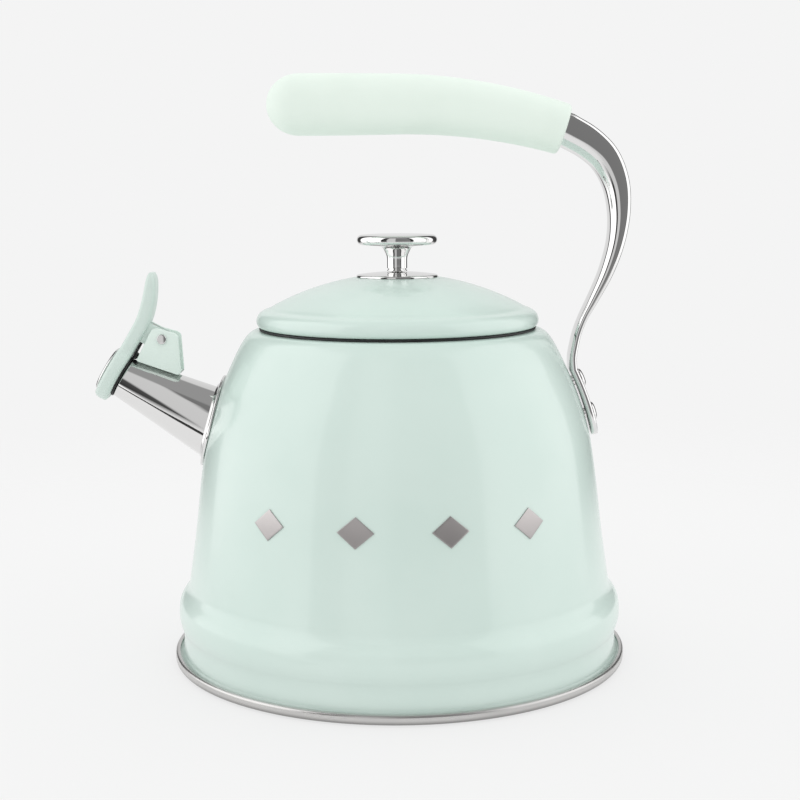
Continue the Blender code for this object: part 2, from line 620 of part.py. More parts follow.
def make_bracket(enamel, frame):
    """Two ears on a web that lies along the cone's top line."""
    pin = pin_place()
    front = pin.x - EAR_FRONT
    rear = pin.x + EAR_REAR
    slope = math.tan(SPOUT_HALF_ANGLE)
    outline = rounded_polygon([
        (front, cone_radius(front) + GAP, EAR_FOOT_FRONT_CORNER),
        (rear, cone_radius(rear) + GAP, EAR_FOOT_REAR_CORNER),
        (pin.x + EAR_TOP_LENGTH, pin.y + EAR_TOP_REAR, EAR_CORNER),
        (front, pin.y + EAR_TOP_FRONT, EAR_FRONT_CORNER),
    ], 3)
    half = EAR_SPACING / 2.0
    bracket = add_object("cap_bracket", slab(outline, -half - EAR_THICKNESS, half + EAR_THICKNESS), enamel,
                         parent=frame)
    reach = CUT_REACH
    floor_front = cone_radius(front - reach) + GAP + BRACKET_WEB
    floor_rear = floor_front + slope * (rear - front + 2.0 * reach)
    slot = slab([(front - reach, floor_front), (rear + reach, floor_rear),
                 (rear + reach, pin.y + reach), (front - reach, pin.y + reach)], -half, half)
    combine(bracket, add_object("guide_slot", slot, parent=frame), "DIFFERENCE")
    width = half + EAR_THICKNESS
    hole = rod(PIN_RADIUS + HOLE_GAP, -width - reach, width + reach, TINY_SEGMENTS)
    combine(bracket, add_object("guide_pin_hole", hole, parent=frame,
                                matrix=Matrix.Translation((pin.x, 0.0, pin.y)) @ ALONG_Y), "DIFFERENCE")
    return bracket


def make_pin(steel, frame):
    """The hinge pin, with a head outside each ear."""
    pin = pin_place()
    seat = EAR_SPACING / 2.0 + EAR_THICKNESS + GAP
    end = seat + PIN_HEAD_HEIGHT
    edge = PIN_EDGE
    profile = [(0.0, -end), (PIN_HEAD_RADIUS - edge, -end), (PIN_HEAD_RADIUS, -end + edge),
               (PIN_HEAD_RADIUS, -seat), (PIN_RADIUS, -seat), (PIN_RADIUS, seat), (PIN_HEAD_RADIUS, seat),
               (PIN_HEAD_RADIUS, end - edge), (PIN_HEAD_RADIUS - edge, end), (0.0, end)]
    add_object("hinge_pin", revolve(profile, TINY_SEGMENTS, closed=False), steel, parent=frame,
               matrix=Matrix.Translation((pin.x, 0.0, pin.y)) @ ALONG_Y)


def make_spring(steel, frame):
    """A torsion coil round the pin, one leg on the bracket's web and one up the lever's back."""
    pin = pin_place()
    coil = PIN_RADIUS + HOLE_GAP + SPRING_WIRE / 2.0
    pitch = SPRING_WIRE + GAP
    steps = int(SPRING_STEPS * (SPRING_TURNS + 0.5))
    width = pitch * steps / SPRING_STEPS
    leg = 3.0 * coil
    lever_back = cap_layout()[3]
    web = cone_radius(pin.x + leg) + GAP + BRACKET_WEB + GAP + SPRING_WIRE / 2.0 - pin.y
    points = [Vector((leg, -width / 2.0, web))]
    for step in range(steps + 1):
        angle = -0.5 * math.pi - 2.0 * math.pi * step / SPRING_STEPS
        points.append(Vector((coil * math.cos(angle) * -1.0, -width / 2.0 + pitch * step / SPRING_STEPS,
                              coil * math.sin(angle))))
    points.append(Vector((lever_back + SPRING_WIRE, width / 2.0, coil + SPRING_WIRE)))
    curve = bpy.data.curves.new("hinge_spring", "CURVE")
    curve.dimensions = "3D"
    curve.bevel_depth = SPRING_WIRE / 2.0
    curve.bevel_resolution = 1
    curve.use_fill_caps = True
    curve.materials.append(steel)
    spline = curve.splines.new("POLY")
    spline.points.add(len(points) - 1)
    for place, point in zip(spline.points, points):
        place.co = (*point, 1.0)
    spring = bpy.data.objects.new("hinge_spring", curve)
    bpy.context.collection.objects.link(spring)
    spring.parent = frame
    spring.location = (pin.x, 0.0, pin.y)


# ================================================================= whistle cap

def cap_layout():
    """The mouth's centre seen from the hinge, in the cap's frame, and the planes in front of it."""
    hinge = frame_matrix(pin_in_world(), MOUTH_TILT)
    mouth = hinge.inverted() @ Vector((spout_mouth().x, 0.0, spout_mouth().y))
    gasket_back = mouth.x - GAP
    gasket_front = gasket_back - GASKET_THICKNESS
    cap_back = gasket_front - GAP
    return mouth.z, gasket_back, gasket_front, cap_back, cap_back - CAP_DISC_THICKNESS


def make_cap(enamel, steel, rubber):
    """The whistle cap: lever, whistle discs and gasket, all on a frame at the hinge pin."""
    frame = add_frame("cap_hinge_frame", pin_in_world(), MOUTH_TILT)
    mouth_z, gasket_back, gasket_front, cap_back, cap_front = cap_layout()

    rings = []
    low = mouth_z - CAP_DISC_RADIUS
    neck = math.sqrt(CAP_DISC_RADIUS ** 2 - (LEVER_WIDTH / 2.0) ** 2)
    disc_angles = (-82.0, -66.0, -48.0, -26.0, 0.0, 24.0, math.degrees(math.asin(neck / CAP_DISC_RADIUS)))
    for angle in disc_angles:
        height = mouth_z + CAP_DISC_RADIUS * math.sin(math.radians(angle))
        width = 2.0 * CAP_DISC_RADIUS * math.cos(math.radians(angle))
        rounding = min(1.0, DISC_FOOT_SHARE + (height - low) / DISC_FOOT_RISE)
        rings.append((height, width, CAP_DISC_THICKNESS * rounding, 0.0))
    top = LEVER_RISE
    for share in (0.0, 0.3, 0.5, 0.66, 0.8, 0.9, 0.96, 1.0):
        height = mouth_z + neck + (top - mouth_z - neck) * share
        bend = max(0.0, height) / top
        thickness = CAP_DISC_THICKNESS + (LEVER_TIP_THICKNESS - CAP_DISC_THICKNESS) * bend ** LEVER_THINNING
        width = LEVER_WIDTH * min(1.0, 0.55 + 3.0 * math.sqrt(1.0 - share))
        if share == 1.0:
            thickness *= 0.6
        rings.append((height, width, thickness, LEVER_SWEEP * bend ** LEVER_CURL))
    middle = (cap_back + cap_front) / 2.0
    path = [(middle - sweep, height) for height, _, _, sweep in rings]
    sections = [stand_section(rounded_section(width, thickness, LEVER_EDGE), place, way)
                for (_, width, thickness, _), place, way in zip(rings[1:], path[1:], headings(path)[1:])]
    first = rings[0]
    sections.insert(0, stand_section(rounded_section(first[1], first[2], LEVER_EDGE), path[0], (0.0, 1.0)))
    lever = add_object("cap_lever", loft(sections), enamel, parent=frame)

    cheek_front = cap_back - CHEEK_BITE
    outline = rounded_polygon([
        (cheek_front, -CHEEK_DROP, CHEEK_CORNER),
        (-CHEEK_RADIUS * CHEEK_FOOT_SHARE, -CHEEK_DROP, CHEEK_FOOT_CORNER),
        (CHEEK_RADIUS, -CHEEK_RADIUS, CHEEK_RADIUS * CHEEK_ROUND_SHARE),
        (CHEEK_RADIUS, CHEEK_RADIUS, CHEEK_RADIUS * CHEEK_ROUND_SHARE),
        (cheek_front, CHEEK_RADIUS, CHEEK_CORNER),
    ], 4)
    outer = EAR_SPACING / 2.0 - GAP
    for side in (1.0, -1.0):
        low_side, high_side = sorted((side * outer, side * (outer - CHEEK_THICKNESS)))
        cheek = add_object(f"guide_cheek_{'left' if side > 0 else 'right'}",
                           slab(outline, low_side, high_side),
                           parent=frame)
        combine(lever, cheek, "UNION")
    pin_hole = rod(PIN_RADIUS + HOLE_GAP, -EAR_SPACING, EAR_SPACING, TINY_SEGMENTS)
    combine(lever, add_object("guide_cheek_bore", pin_hole, parent=frame, matrix=ALONG_Y), "DIFFERENCE")
    bore_matrix = Matrix.Translation((cap_front, 0.0, mouth_z)) @ AGAINST_X
    bore = rod(WHISTLE_BORE, -2.0 * CAP_DISC_THICKNESS, CAP_DISC_THICKNESS, SMALL_SEGMENTS)
    combine(lever, add_object("guide_whistle_bore", bore, parent=frame, matrix=bore_matrix), "DIFFERENCE")

    skirt = WHISTLE_BORE - HOLE_GAP
    inner = skirt - WHISTLE_SHEET
    rise = GAP + WHISTLE_SHEET + WHISTLE_DISC_RISE
    dome = [(WHISTLE_DISC_RADIUS * share, rise - drop) for share, drop in WHISTLE_DOME]
    edge_low, edge_high = (GAP + height for height in WHISTLE_EDGE_HEIGHTS)
    front = [(WHISTLE_HOLE_RADIUS, rise), *dome, (WHISTLE_DISC_RADIUS * WHISTLE_EDGE_SHARE, edge_high),
             (WHISTLE_DISC_RADIUS, edge_low), (WHISTLE_DISC_RADIUS - WHISTLE_EDGE_WIDTH, GAP), (skirt, GAP),
             (skirt, -WHISTLE_SKIRT), (inner, -WHISTLE_SKIRT),
             (inner, rise - WHISTLE_INNER_DROP - WHISTLE_SHEET),
             (WHISTLE_DISC_RADIUS * WHISTLE_INNER_SHARE, rise - WHISTLE_DOME[0][1] - WHISTLE_SHEET),
             (WHISTLE_HOLE_RADIUS, rise - WHISTLE_SHEET)]
    add_object("whistle_front_disc", revolve(front, SMALL_SEGMENTS), steel, parent=frame, matrix=bore_matrix)
    back_radius = inner - GAP
    back = [(WHISTLE_HOLE_RADIUS, -WHISTLE_CHAMBER), (back_radius, -WHISTLE_CHAMBER),
            (back_radius, -WHISTLE_CHAMBER + WHISTLE_SHEET),
            (WHISTLE_HOLE_RADIUS, -WHISTLE_CHAMBER + WHISTLE_SHEET)]
    add_object("whistle_back_disc", revolve(back, SMALL_SEGMENTS), steel, parent=frame, matrix=bore_matrix)

    gasket_matrix = Matrix.Translation((gasket_back, 0.0, mouth_z)) @ AGAINST_X
    gasket_bore = SPOUT_MOUTH_RADIUS - SPOUT_WALL - GASKET_COVER
    ring = [(gasket_bore, 0.0), (GASKET_RADIUS, 0.0), (GASKET_RADIUS, GASKET_THICKNESS),
            (gasket_bore, GASKET_THICKNESS)]
    gasket = add_object("cap_gasket", revolve(ring, SMALL_SEGMENTS), rubber,
                        parent=frame, matrix=gasket_matrix)
    cone_rise = TAB_REACH * math.tan(SPOUT_HALF_ANGLE + MOUTH_TILT - SPOUT_TILT)
    tab_low = mouth_z + SPOUT_MOUTH_RADIUS + cone_rise + GAP
    tab_behind = gasket_back + GAP + TAB_REACH
    tab = rounded_polygon([(x, z, TAB_CORNER) for x, z in (
        (gasket_front, tab_low), (tab_behind, tab_low), (tab_behind, tab_low + TAB_RISE),
        (gasket_back, tab_low + TAB_RISE), (gasket_back, -CHEEK_DROP - GAP),
        (gasket_front, -CHEEK_DROP - GAP))], 1)
    guide = add_object("guide_gasket_tab", slab(tab, -TAB_WIDTH / 2.0, TAB_WIDTH / 2.0), parent=frame)
    combine(gasket, guide, "UNION")


# ================================================================= handle

def strap_place(drop, lift):
    """A point that stands lift outside the wall, at a drop below the shoulder."""
    point, outward = wall_place(SHOULDER_HEIGHT - drop)
    return point + outward * lift


def rivet_matrix(drop):
    """Frame on the wall's outside at a rivet: +Z runs outwards."""
    point, outward = wall_place(SHOULDER_HEIGHT - drop)
    lean = math.atan2(outward.y, outward.x)
    return frame_matrix(point, -lean) @ ALONG_X


def arm_end():
    """Centre of the arm where it enters the grip."""
    leave = strap_place(STRAP_TOP_DROP, STRAP_STANDOFF + STRAP_THICKNESS / 2.0)
    last = ARM_CURVE[-1]
    return Vector((leave.x + ARM_REACH * last[1], leave.y + ARM_RISE * last[0]))


def grip_place(distance):
    """A point and heading on the grip's centreline, at a distance from its arm end."""
    center = arm_end() - Vector((math.sin(GRIP_END_ANGLE), math.cos(GRIP_END_ANGLE))) * GRIP_BEND_RADIUS
    angle = max(0.0, GRIP_END_ANGLE - distance / GRIP_BEND_RADIUS)
    straight = max(0.0, distance - GRIP_END_ANGLE * GRIP_BEND_RADIUS)
    point = center + Vector((math.sin(angle), math.cos(angle))) * GRIP_BEND_RADIUS
    return point + Vector((-straight, 0.0)), Vector((-math.cos(angle), math.sin(angle)))


def strap_width(distance):
    """Width of the strap at a distance from its rounded lower end."""
    share = min(1.0, distance / STRAP_END_RADIUS)
    full = STRAP_WIDTH * (0.3 + 0.7 * math.sqrt(1.0 - (1.0 - share) ** 2))
    total = STRAP_BOTTOM_DROP - STRAP_TOP_DROP
    taper = max(0.0, distance / total - 0.45) / 0.55
    return full - (STRAP_WIDTH - STRAP_NECK_WIDTH) * taper


def arm_stations():
    """(x, z, thickness, width) along the strap and the arm, from the strap's end to the grip."""
    lift = STRAP_STANDOFF + STRAP_THICKNESS / 2.0
    total = STRAP_BOTTOM_DROP - STRAP_TOP_DROP
    stations = []
    for distance in (*STRAP_STATIONS, STRAP_END_RADIUS, *(share * total for share in STRAP_SHARES)):
        place = strap_place(STRAP_BOTTOM_DROP - distance, lift)
        thin = 0.8 if distance == 0.0 else 1.0
        stations.append((place.x, place.y, STRAP_THICKNESS * thin, strap_width(distance)))
    leave = strap_place(STRAP_TOP_DROP, lift)
    keys = [stations[-1]]
    for rise, reach, thickness, width in ARM_CURVE:
        keys.append((leave.x + ARM_REACH * reach, leave.y + ARM_RISE * rise, thickness, width))
    return stations[:-1] + smooth_path(keys, ARM_STEPS)


def arm_sections(growth):
    """Rings of the whole stem, grown by a clearance, from the strap's end to the tang's end."""
    stations = arm_stations()
    path = [station[:2] for station in stations]
    ways = headings(path)
    ways[-1] = tuple(grip_place(0.0)[1])
    rings = [stand_section(rounded_section(width + growth * 2.0, thickness + growth * 2.0, ARM_EDGE),
                         place, way)
             for (_, _, thickness, width), place, way in zip(stations, path, ways)]
    _, _, full_height, full_width = stations[-1]
    tail = TANG_LENGTH - SOCKET_DEPTH
    inner = [(SOCKET_DEPTH, full_height, full_width)]
    for share in (0.006, 0.25, 0.5, 0.75, 1.0):
        inner.append((SOCKET_DEPTH + tail * share, TANG_HEIGHT, TANG_WIDTH))
    for distance, height, width in inner:
        place, way = grip_place(distance + growth)
        section = rounded_section(width + growth * 2.0, height + growth * 2.0, ARM_EDGE)
        rings.append(stand_section(section, place, way))
    return rings, len(stations)


def make_stem(steel):
    """The steel arm: strap, S-curve and the tang inside the grip."""
    rings, _ = arm_sections(0.0)
    stem = add_object("handle_stem", loft(rings), steel)
    for name, drop in RIVET_DROPS.items():
        hole = add_object(f"guide_strap_{name}",
                          rod(RIVET_RADIUS + HOLE_GAP, -RIVET_CUT_RISE, CUT_DEPTH, TINY_SEGMENTS),
                          matrix=rivet_matrix(drop))
        combine(stem, hole, "DIFFERENCE")


def make_rivets(steel):
    """Rivets through the strap and the wall, headed on both sides."""
    seat = STRAP_STANDOFF + STRAP_THICKNESS + GAP
    tail = -(WALL_THICKNESS + GAP + RIVET_HEAD_RADIUS ** 2 / (2.0 * WALL_RADIUS) + GAP)
    top = seat + RIVET_HEAD_HEIGHT
    end = tail - RIVET_TAIL_HEIGHT
    profile = [(0.0, end), (RIVET_HEAD_RADIUS * 0.7, end), (RIVET_HEAD_RADIUS, tail), (RIVET_RADIUS, tail),
               (RIVET_RADIUS, seat), (RIVET_HEAD_RADIUS, seat),
               (RIVET_HEAD_RADIUS, seat + RIVET_HEAD_HEIGHT * 0.3),
               (RIVET_HEAD_RADIUS * 0.85, seat + RIVET_HEAD_HEIGHT * 0.72),
               (RIVET_HEAD_RADIUS * 0.5, seat + RIVET_HEAD_HEIGHT * 0.95), (0.0, top)]
    for name, drop in RIVET_DROPS.items():
        add_object(name, revolve(profile, TINY_SEGMENTS + 4, closed=False), steel, matrix=rivet_matrix(drop))


def make_grip(soft):
    """The soft-touch grip, bored for the arm's end and its tang."""
    body = GRIP_LENGTH - GRIP_NOSE_LENGTH
    stations = [(0.0, 1.0 - 2.0 * GRIP_END_ROUND / GRIP_HEIGHT_END), (GRIP_END_ROUND * 0.35, 1.0 - 0.05),
                (GRIP_END_ROUND, 1.0)]
    stations += [(body * share, 1.0) for share in (0.2, 0.4, 0.6, 0.8, 1.0)]
    for angle in (20.0, 38.0, 54.0, 68.0, 80.0):
        stations.append((body + GRIP_NOSE_LENGTH * math.sin(math.radians(angle)),
                         math.cos(math.radians(angle))))
    rings = []
    for distance, scale in stations:
        share = min(1.0, distance / body)
        height = GRIP_HEIGHT_END + (GRIP_HEIGHT_NOSE - GRIP_HEIGHT_END) * math.sin(share * math.pi / 2.0)
        width = GRIP_WIDTH_END + (GRIP_WIDTH_NOSE - GRIP_WIDTH_END) * share
        place, way = grip_place(distance)
        rings.append(stand_section(oval_section(width * scale, height * scale, 2.4, SMALL_SEGMENTS),
                                   place, way))
    grip = add_object("handle_grip", loft(rings), soft)
    sections, arm_count = arm_sections(HOLE_GAP)
    socket = loft(sections[arm_count - 2:])
    combine(grip, add_object("guide_socket", socket), "DIFFERENCE")


# ================================================================= lid

def lid_outline():
    """The lid's outside from the rim's inner foot, round the rim and over the dome."""
    foot = SHOULDER_HEIGHT + GAP
    widest = MOUTH_RADIUS + LID_RIM_OVERHANG
    crease = widest - LID_CREASE_INSET
    rim = [(MOUTH_RADIUS + LID_FOOT_OVERLAP, foot)]
    rim += [(widest - inset, foot + rise) for inset, rise in LID_RIM] + [(crease, foot + LID_CREASE_RISE)]
    dome = [(radius, dome_height(radius))
            for radius in np.linspace(crease - LID_DOME_START, hole_radius(), 8)]
    return rim + dome


def dome_height(radius):
    """Height of the lid's dome at a radius."""
    crown = SHOULDER_HEIGHT + GAP + LID_DOME_RISE
    return crown - LID_DOME_RADIUS + math.sqrt(LID_DOME_RADIUS ** 2 - radius ** 2)


def hole_radius():
    """Radius of the screw's hole through the lid and the knob's plate."""
    return LID_SCREW_RADIUS + HOLE_GAP


def make_lid(enamel, steel, polished, rubber):
    """The lid's shell, neck ring and seal, and the knob with its plate, washer and screw."""
    frame = add_frame("lid_frame", (0.0, SHOULDER_HEIGHT))
    down = Matrix.Translation((0.0, 0.0, -SHOULDER_HEIGHT))
    outside = lid_outline()
    inside = offset_path(outside, LID_SHEET)
    add_object("lid_shell", revolve(outside + inside[::-1], LID_SEGMENTS), enamel, parent=frame, matrix=down)

    skirt = MOUTH_RADIUS - SKIRT_GAP
    flange = skirt - SKIRT_FLANGE
    bottom = SHOULDER_HEIGHT - SKIRT_DEPTH

    def under(radius):
        return dome_height(radius) - LID_SHEET * 1.15 - GAP

    bend = SKIRT_BEND
    ring = [(flange, under(flange)), (skirt - bend, under(skirt - bend)), (skirt, under(skirt) - bend),
            (skirt, bottom + SKIRT_BEAD_TOP), (skirt + SKIRT_BEAD_WIDTH, bottom + SKIRT_BEAD_RISE),
            (skirt + SKIRT_BEAD_WIDTH, bottom),
            (skirt - SKIRT_SHEET, bottom), (skirt - SKIRT_SHEET, under(skirt) - bend - SKIRT_SHEET),
            (flange, under(flange) - SKIRT_SHEET)]
    add_object("lid_neck_ring", revolve(ring, LID_SEGMENTS), steel, parent=frame, matrix=down)
    seal_low = bottom + SKIRT_BEAD_TOP + GAP
    seal_high = seal_low + SEAL_HEIGHT
    seal_out = MOUTH_RADIUS - SEAL_SQUEEZE_GAP
    seal = [(skirt + GAP, seal_low), (seal_out - SEAL_EDGE, seal_low),
            (seal_out, (seal_low + seal_high) / 2.0),
            (seal_out - SEAL_EDGE, seal_high), (skirt + GAP, seal_high)]
    add_object("lid_seal", revolve(seal, LID_SEGMENTS), rubber, parent=frame, matrix=down)

    def over(radius, lift):
        return dome_height(radius) + GAP + lift

    plate_top = [(radius, over(radius, KNOB_PLATE_THICKNESS))
                 for radius in (KNOB_PLATE_RADIUS - KNOB_PLATE_EDGE, KNOB_PLATE_RADIUS * 0.5, hole_radius())]
    plate = [(hole_radius(), over(hole_radius(), 0.0)),
             (KNOB_PLATE_RADIUS * 0.5, over(KNOB_PLATE_RADIUS * 0.5, 0.0)),
             (KNOB_PLATE_RADIUS, over(KNOB_PLATE_RADIUS, 0.0)),
             (KNOB_PLATE_RADIUS, over(KNOB_PLATE_RADIUS, KNOB_PLATE_THICKNESS * 0.7))] + plate_top
    add_object("knob_base", revolve(plate, SPOUT_SEGMENTS), polished, parent=frame, matrix=down)
    make_knob(polished, frame, down)
    make_lid_fastener(steel, frame, down)


def knob_foot():
    """Height of the knob's underside above the hob."""
    return dome_height(hole_radius()) + 2.0 * GAP + KNOB_PLATE_THICKNESS


def make_knob(polished, frame, down):
    """The mushroom knob, drilled from below for its screw."""
    foot = knob_foot()
    top = foot + KNOB_HEIGHT - GAP
    under = top - KNOB_RIM - KNOB_CROWN
    stem = KNOB_STEM_RADIUS
    half = KNOB_RIM * KNOB_RIM_SHARE
    rim = arc((KNOB_RADIUS - half, top - KNOB_CROWN - half), half, 70.0, -75.0, 6)
    drill = LID_SCREW_RADIUS + HOLE_GAP
    low, groove_low, groove_high, high = (foot + rise for rise in KNOB_GROOVE_HEIGHTS)
    profile = [(drill, foot), (stem, foot), (stem, low), (stem - KNOB_GROOVE, groove_low),
               (stem - KNOB_GROOVE, groove_high), (stem, high), (stem, foot + KNOB_STEM_TOP),
               (stem + KNOB_FLARE_START[0], foot + KNOB_FLARE_START[1]),
               (stem + KNOB_FLARE_MIDDLE[0], under - KNOB_FLARE_MIDDLE[1]), (stem + KNOB_FLARE_END, under)]
    profile += rim[::-1] + [(KNOB_RADIUS * KNOB_CROWN_SHARE, top - KNOB_CROWN_DROP), (0.0, top)]
    depth = foot + LID_SCREW_GRIP + DRILL_POINT
    profile = [(0.0, depth), (drill, depth - DRILL_POINT)] + profile
    add_object("knob", revolve(profile, SPOUT_SEGMENTS, closed=False), polished, parent=frame, matrix=down)


def make_lid_fastener(steel, frame, down):
    """The washer and the pan-head screw under the lid's crown."""
    seat = dome_height(hole_radius()) - LID_SHEET - 2.0 * GAP
    washer_low = seat - WASHER_THICKNESS
    washer = [(hole_radius(), washer_low), (WASHER_RADIUS, washer_low), (WASHER_RADIUS, seat),
              (hole_radius(), seat)]
    add_object("knob_washer", revolve(washer, SMALL_SEGMENTS), steel, parent=frame, matrix=down)
    head = washer_low - GAP
    low = head - LID_SCREW_HEAD_HEIGHT
    tip = knob_foot() + LID_SCREW_GRIP
    screw = [(0.0, low), (LID_SCREW_HEAD_RADIUS * SCREW_HEAD_SHARE, low),
             (LID_SCREW_HEAD_RADIUS, low + SCREW_HEAD_RISE), (LID_SCREW_HEAD_RADIUS, head),
             (LID_SCREW_RADIUS, head), (LID_SCREW_RADIUS, tip - SCREW_EDGE),
             (LID_SCREW_RADIUS - SCREW_EDGE, tip), (0.0, tip)]
    add_object("knob_screw", revolve(screw, TINY_SEGMENTS, closed=False), steel, parent=frame, matrix=down)


# ================================================================= assembly

def main():
    """Build every piece."""
    clear_scene()
    enamel = finish("mint_enamel", (0.66, 0.87, 0.77), 0.18, 0.0)
    soft = finish("mint_soft_touch", (0.74, 0.88, 0.79), 0.6, 0.0)
    coated = finish("mint_coated_plastic", (0.55, 0.74, 0.65), 0.4, 0.0)
    steel = finish("brushed_steel", (0.62, 0.61, 0.60), 0.3, 1.0)
    polished = finish("polished_steel", (0.72, 0.71, 0.70), 0.08, 1.0)
    aluminium = finish("plain_aluminium", (0.75, 0.76, 0.77), 0.4, 1.0)
    rubber = finish("black_silicone", (0.02, 0.02, 0.02), 0.6, 0.0)

    make_body(enamel)
    make_base(steel, aluminium)
    spout_frame = make_spout(polished)
    make_bracket(coated, spout_frame)
    make_pin(polished, spout_frame)
    make_spring(steel, spout_frame)
    make_cap(coated, polished, rubber)
    make_stem(polished)
    make_rivets(polished)
    make_grip(soft)
    make_lid(enamel, steel, polished, rubber)
    bpy.context.view_layer.update()


main()
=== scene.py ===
"""Looks of the stovetop whistling kettle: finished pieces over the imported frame, materials and studio.

Lengths are metres, +Z is up, the spout points along -X and the handle rises at +X.
"""

import json
import logging
import math
from dataclasses import dataclass
from enum import Enum
from typing import Any, Callable, Sequence

import bmesh
import bpy
import numpy as np
from mathutils import Matrix, Vector


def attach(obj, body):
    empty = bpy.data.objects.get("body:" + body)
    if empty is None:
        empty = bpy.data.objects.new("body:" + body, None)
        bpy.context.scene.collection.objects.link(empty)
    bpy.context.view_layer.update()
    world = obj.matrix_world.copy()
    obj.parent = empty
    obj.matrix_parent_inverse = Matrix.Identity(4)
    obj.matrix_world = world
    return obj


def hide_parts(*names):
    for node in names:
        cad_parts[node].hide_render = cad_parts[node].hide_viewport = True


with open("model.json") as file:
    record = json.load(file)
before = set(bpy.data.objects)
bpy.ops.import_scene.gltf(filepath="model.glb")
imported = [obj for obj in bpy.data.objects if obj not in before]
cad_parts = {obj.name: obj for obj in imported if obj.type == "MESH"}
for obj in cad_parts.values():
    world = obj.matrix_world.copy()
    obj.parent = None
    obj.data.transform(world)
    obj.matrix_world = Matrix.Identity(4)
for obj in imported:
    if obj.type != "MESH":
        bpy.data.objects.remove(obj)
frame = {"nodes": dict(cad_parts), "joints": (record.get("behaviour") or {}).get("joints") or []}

LOG = logging.getLogger("kettle")
MM = 0.001
ROUND_SHARE = 0.42                  # largest rounding of a bar, as a share of its thickness
Point = tuple[float, float]
Corners = Sequence[Sequence[float]]

ALONG_Y = Matrix.Rotation(math.radians(-90.0), 4, "X")
AGAINST_X = Matrix.Rotation(math.radians(-90.0), 4, "Y")
ALONG_X = Matrix.Rotation(math.radians(90.0), 4, "Y")


class Body(Enum):
    """The rigid bodies of the frame."""

    KETTLE = "kettle"
    LID = "lid"
    CAP = "whistle_cap"


class Cut(Enum):
    """How one closed shape changes another."""

    ADD = "UNION"
    TAKE = "DIFFERENCE"


# ================================================================= curves

def mm(points: Corners) -> list[tuple[float, ...]]:
    """Points given in millimetres, in metres."""
    return [tuple(value * MM for value in point) for point in points]


def curve_through(points: Corners, steps: int) -> list[tuple[float, ...]]:
    """A smooth curve through points.

    Args:
        points: Points of two or more values; the first two give their spacing.
        steps: Pieces between each pair of points.

    Returns:
        The curve's points, the given ones among them.
    """
    given = np.array(points, dtype=float)
    lengths = np.linalg.norm(np.diff(given[:, :2], axis=0), axis=1)
    slopes = np.gradient(given, np.concatenate(([0.0], np.cumsum(lengths))), axis=0)
    path = []
    for i, length in enumerate(lengths):
        for t in np.arange(steps) / steps:
            ahead = t * t * (3.0 - 2.0 * t)
            path.append(given[i] * (1.0 - ahead) + given[i + 1] * ahead
                        + length * t * (1.0 - t) * (slopes[i] * (1.0 - t) - slopes[i + 1] * t))
    path.append(given[-1])
    return [tuple(float(value) for value in point) for point in path]


def rounded(corners: Corners, steps: int = 4, closed: bool = False) -> list[Point]:
    """An outline whose corners are turned into arcs.

    Args:
        corners: (a, b, radius) of each corner; radius 0 keeps it sharp.
        steps: Pieces in each arc.
        closed: True for a closed outline, whose ends meet.

    Returns:
        The outline's points.
    """
    outline: list[Point] = []
    count = len(corners)
    for i, (a, b, radius) in enumerate(corners):
        here = Vector((a, b))
        if radius == 0.0 or (not closed and i in (0, count - 1)):
            outline.append((a, b))
            continue
        back = (Vector(corners[i - 1][:2]) - here).normalized()
        ahead = (Vector(corners[(i + 1) % count][:2]) - here).normalized()
        half = back.angle(ahead) / 2.0
        if half > math.radians(89.5):
            outline.append((a, b))
            continue
        center = here + (back + ahead).normalized() * (radius / math.sin(half))
        start = here + back * (radius / math.tan(half)) - center
        side = 1.0 if back.cross(ahead) < 0.0 else -1.0
        for step in range(steps + 1):
            turn = Matrix.Rotation(side * (math.pi - 2.0 * half) * step / steps, 2)
            outline.append(tuple(center + turn @ start))
    return outline


def bar_section(width: float, thickness: float, left: float, right: float, steps: int = 6) -> list[Point]:
    """Points of a rounded rectangle, as (across, through) pairs.

    Args:
        width: Size across.
        thickness: Size through.
        left: Radius of the edges on the left of its heading.
        right: Radius of the edges on the right.
        steps: Pieces in each arc.

    Returns:
        The section's points.
    """
    across, through = width / 2.0, thickness / 2.0
    return rounded([(across, through, left), (-across, through, left), (-across, -through, right),
                    (across, -through, right)], steps, closed=True)


def oval_section(width: float, height: float, power: float = 2.4, steps: int = 40) -> list[Point]:
    """Points of an oval between an ellipse (power 2) and a rectangle, as (across, through) pairs."""
    points = []
    for angle in np.linspace(0.0, 2.0 * math.pi, steps, endpoint=False):
        c, s = math.cos(angle), math.sin(angle)
        points.append((width / 2.0 * math.copysign(abs(c) ** (2.0 / power), c),
                       height / 2.0 * math.copysign(abs(s) ** (2.0 / power), s)))
    return points


def stand(section: Sequence[Point], place: Sequence[float], way: Sequence[float]) -> list[Vector]:
    """Stand a section at (x, z) in the plane y = 0, square to a heading; its through side is left of it."""
    ahead = Vector(way[:2]).normalized()
    left = Vector((-ahead.y, ahead.x))
    return [Vector((place[0] + left.x * through, across, place[1] + left.y * through))
            for across, through in section]


def headings(path: Corners) -> list[Point]:
    """The direction of a path at each of its points."""
    return [tuple(way[:2]) for way in np.gradient(np.array(path, dtype=float), axis=0)]


def tilted(place: Sequence[float], tilt: float) -> Matrix:
    """A frame at (x, z) in the plane y = 0, turned about Y."""
    return Matrix.Translation((place[0], 0.0, place[1])) @ Matrix.Rotation(tilt, 4, "Y")


# ================================================================= shapes

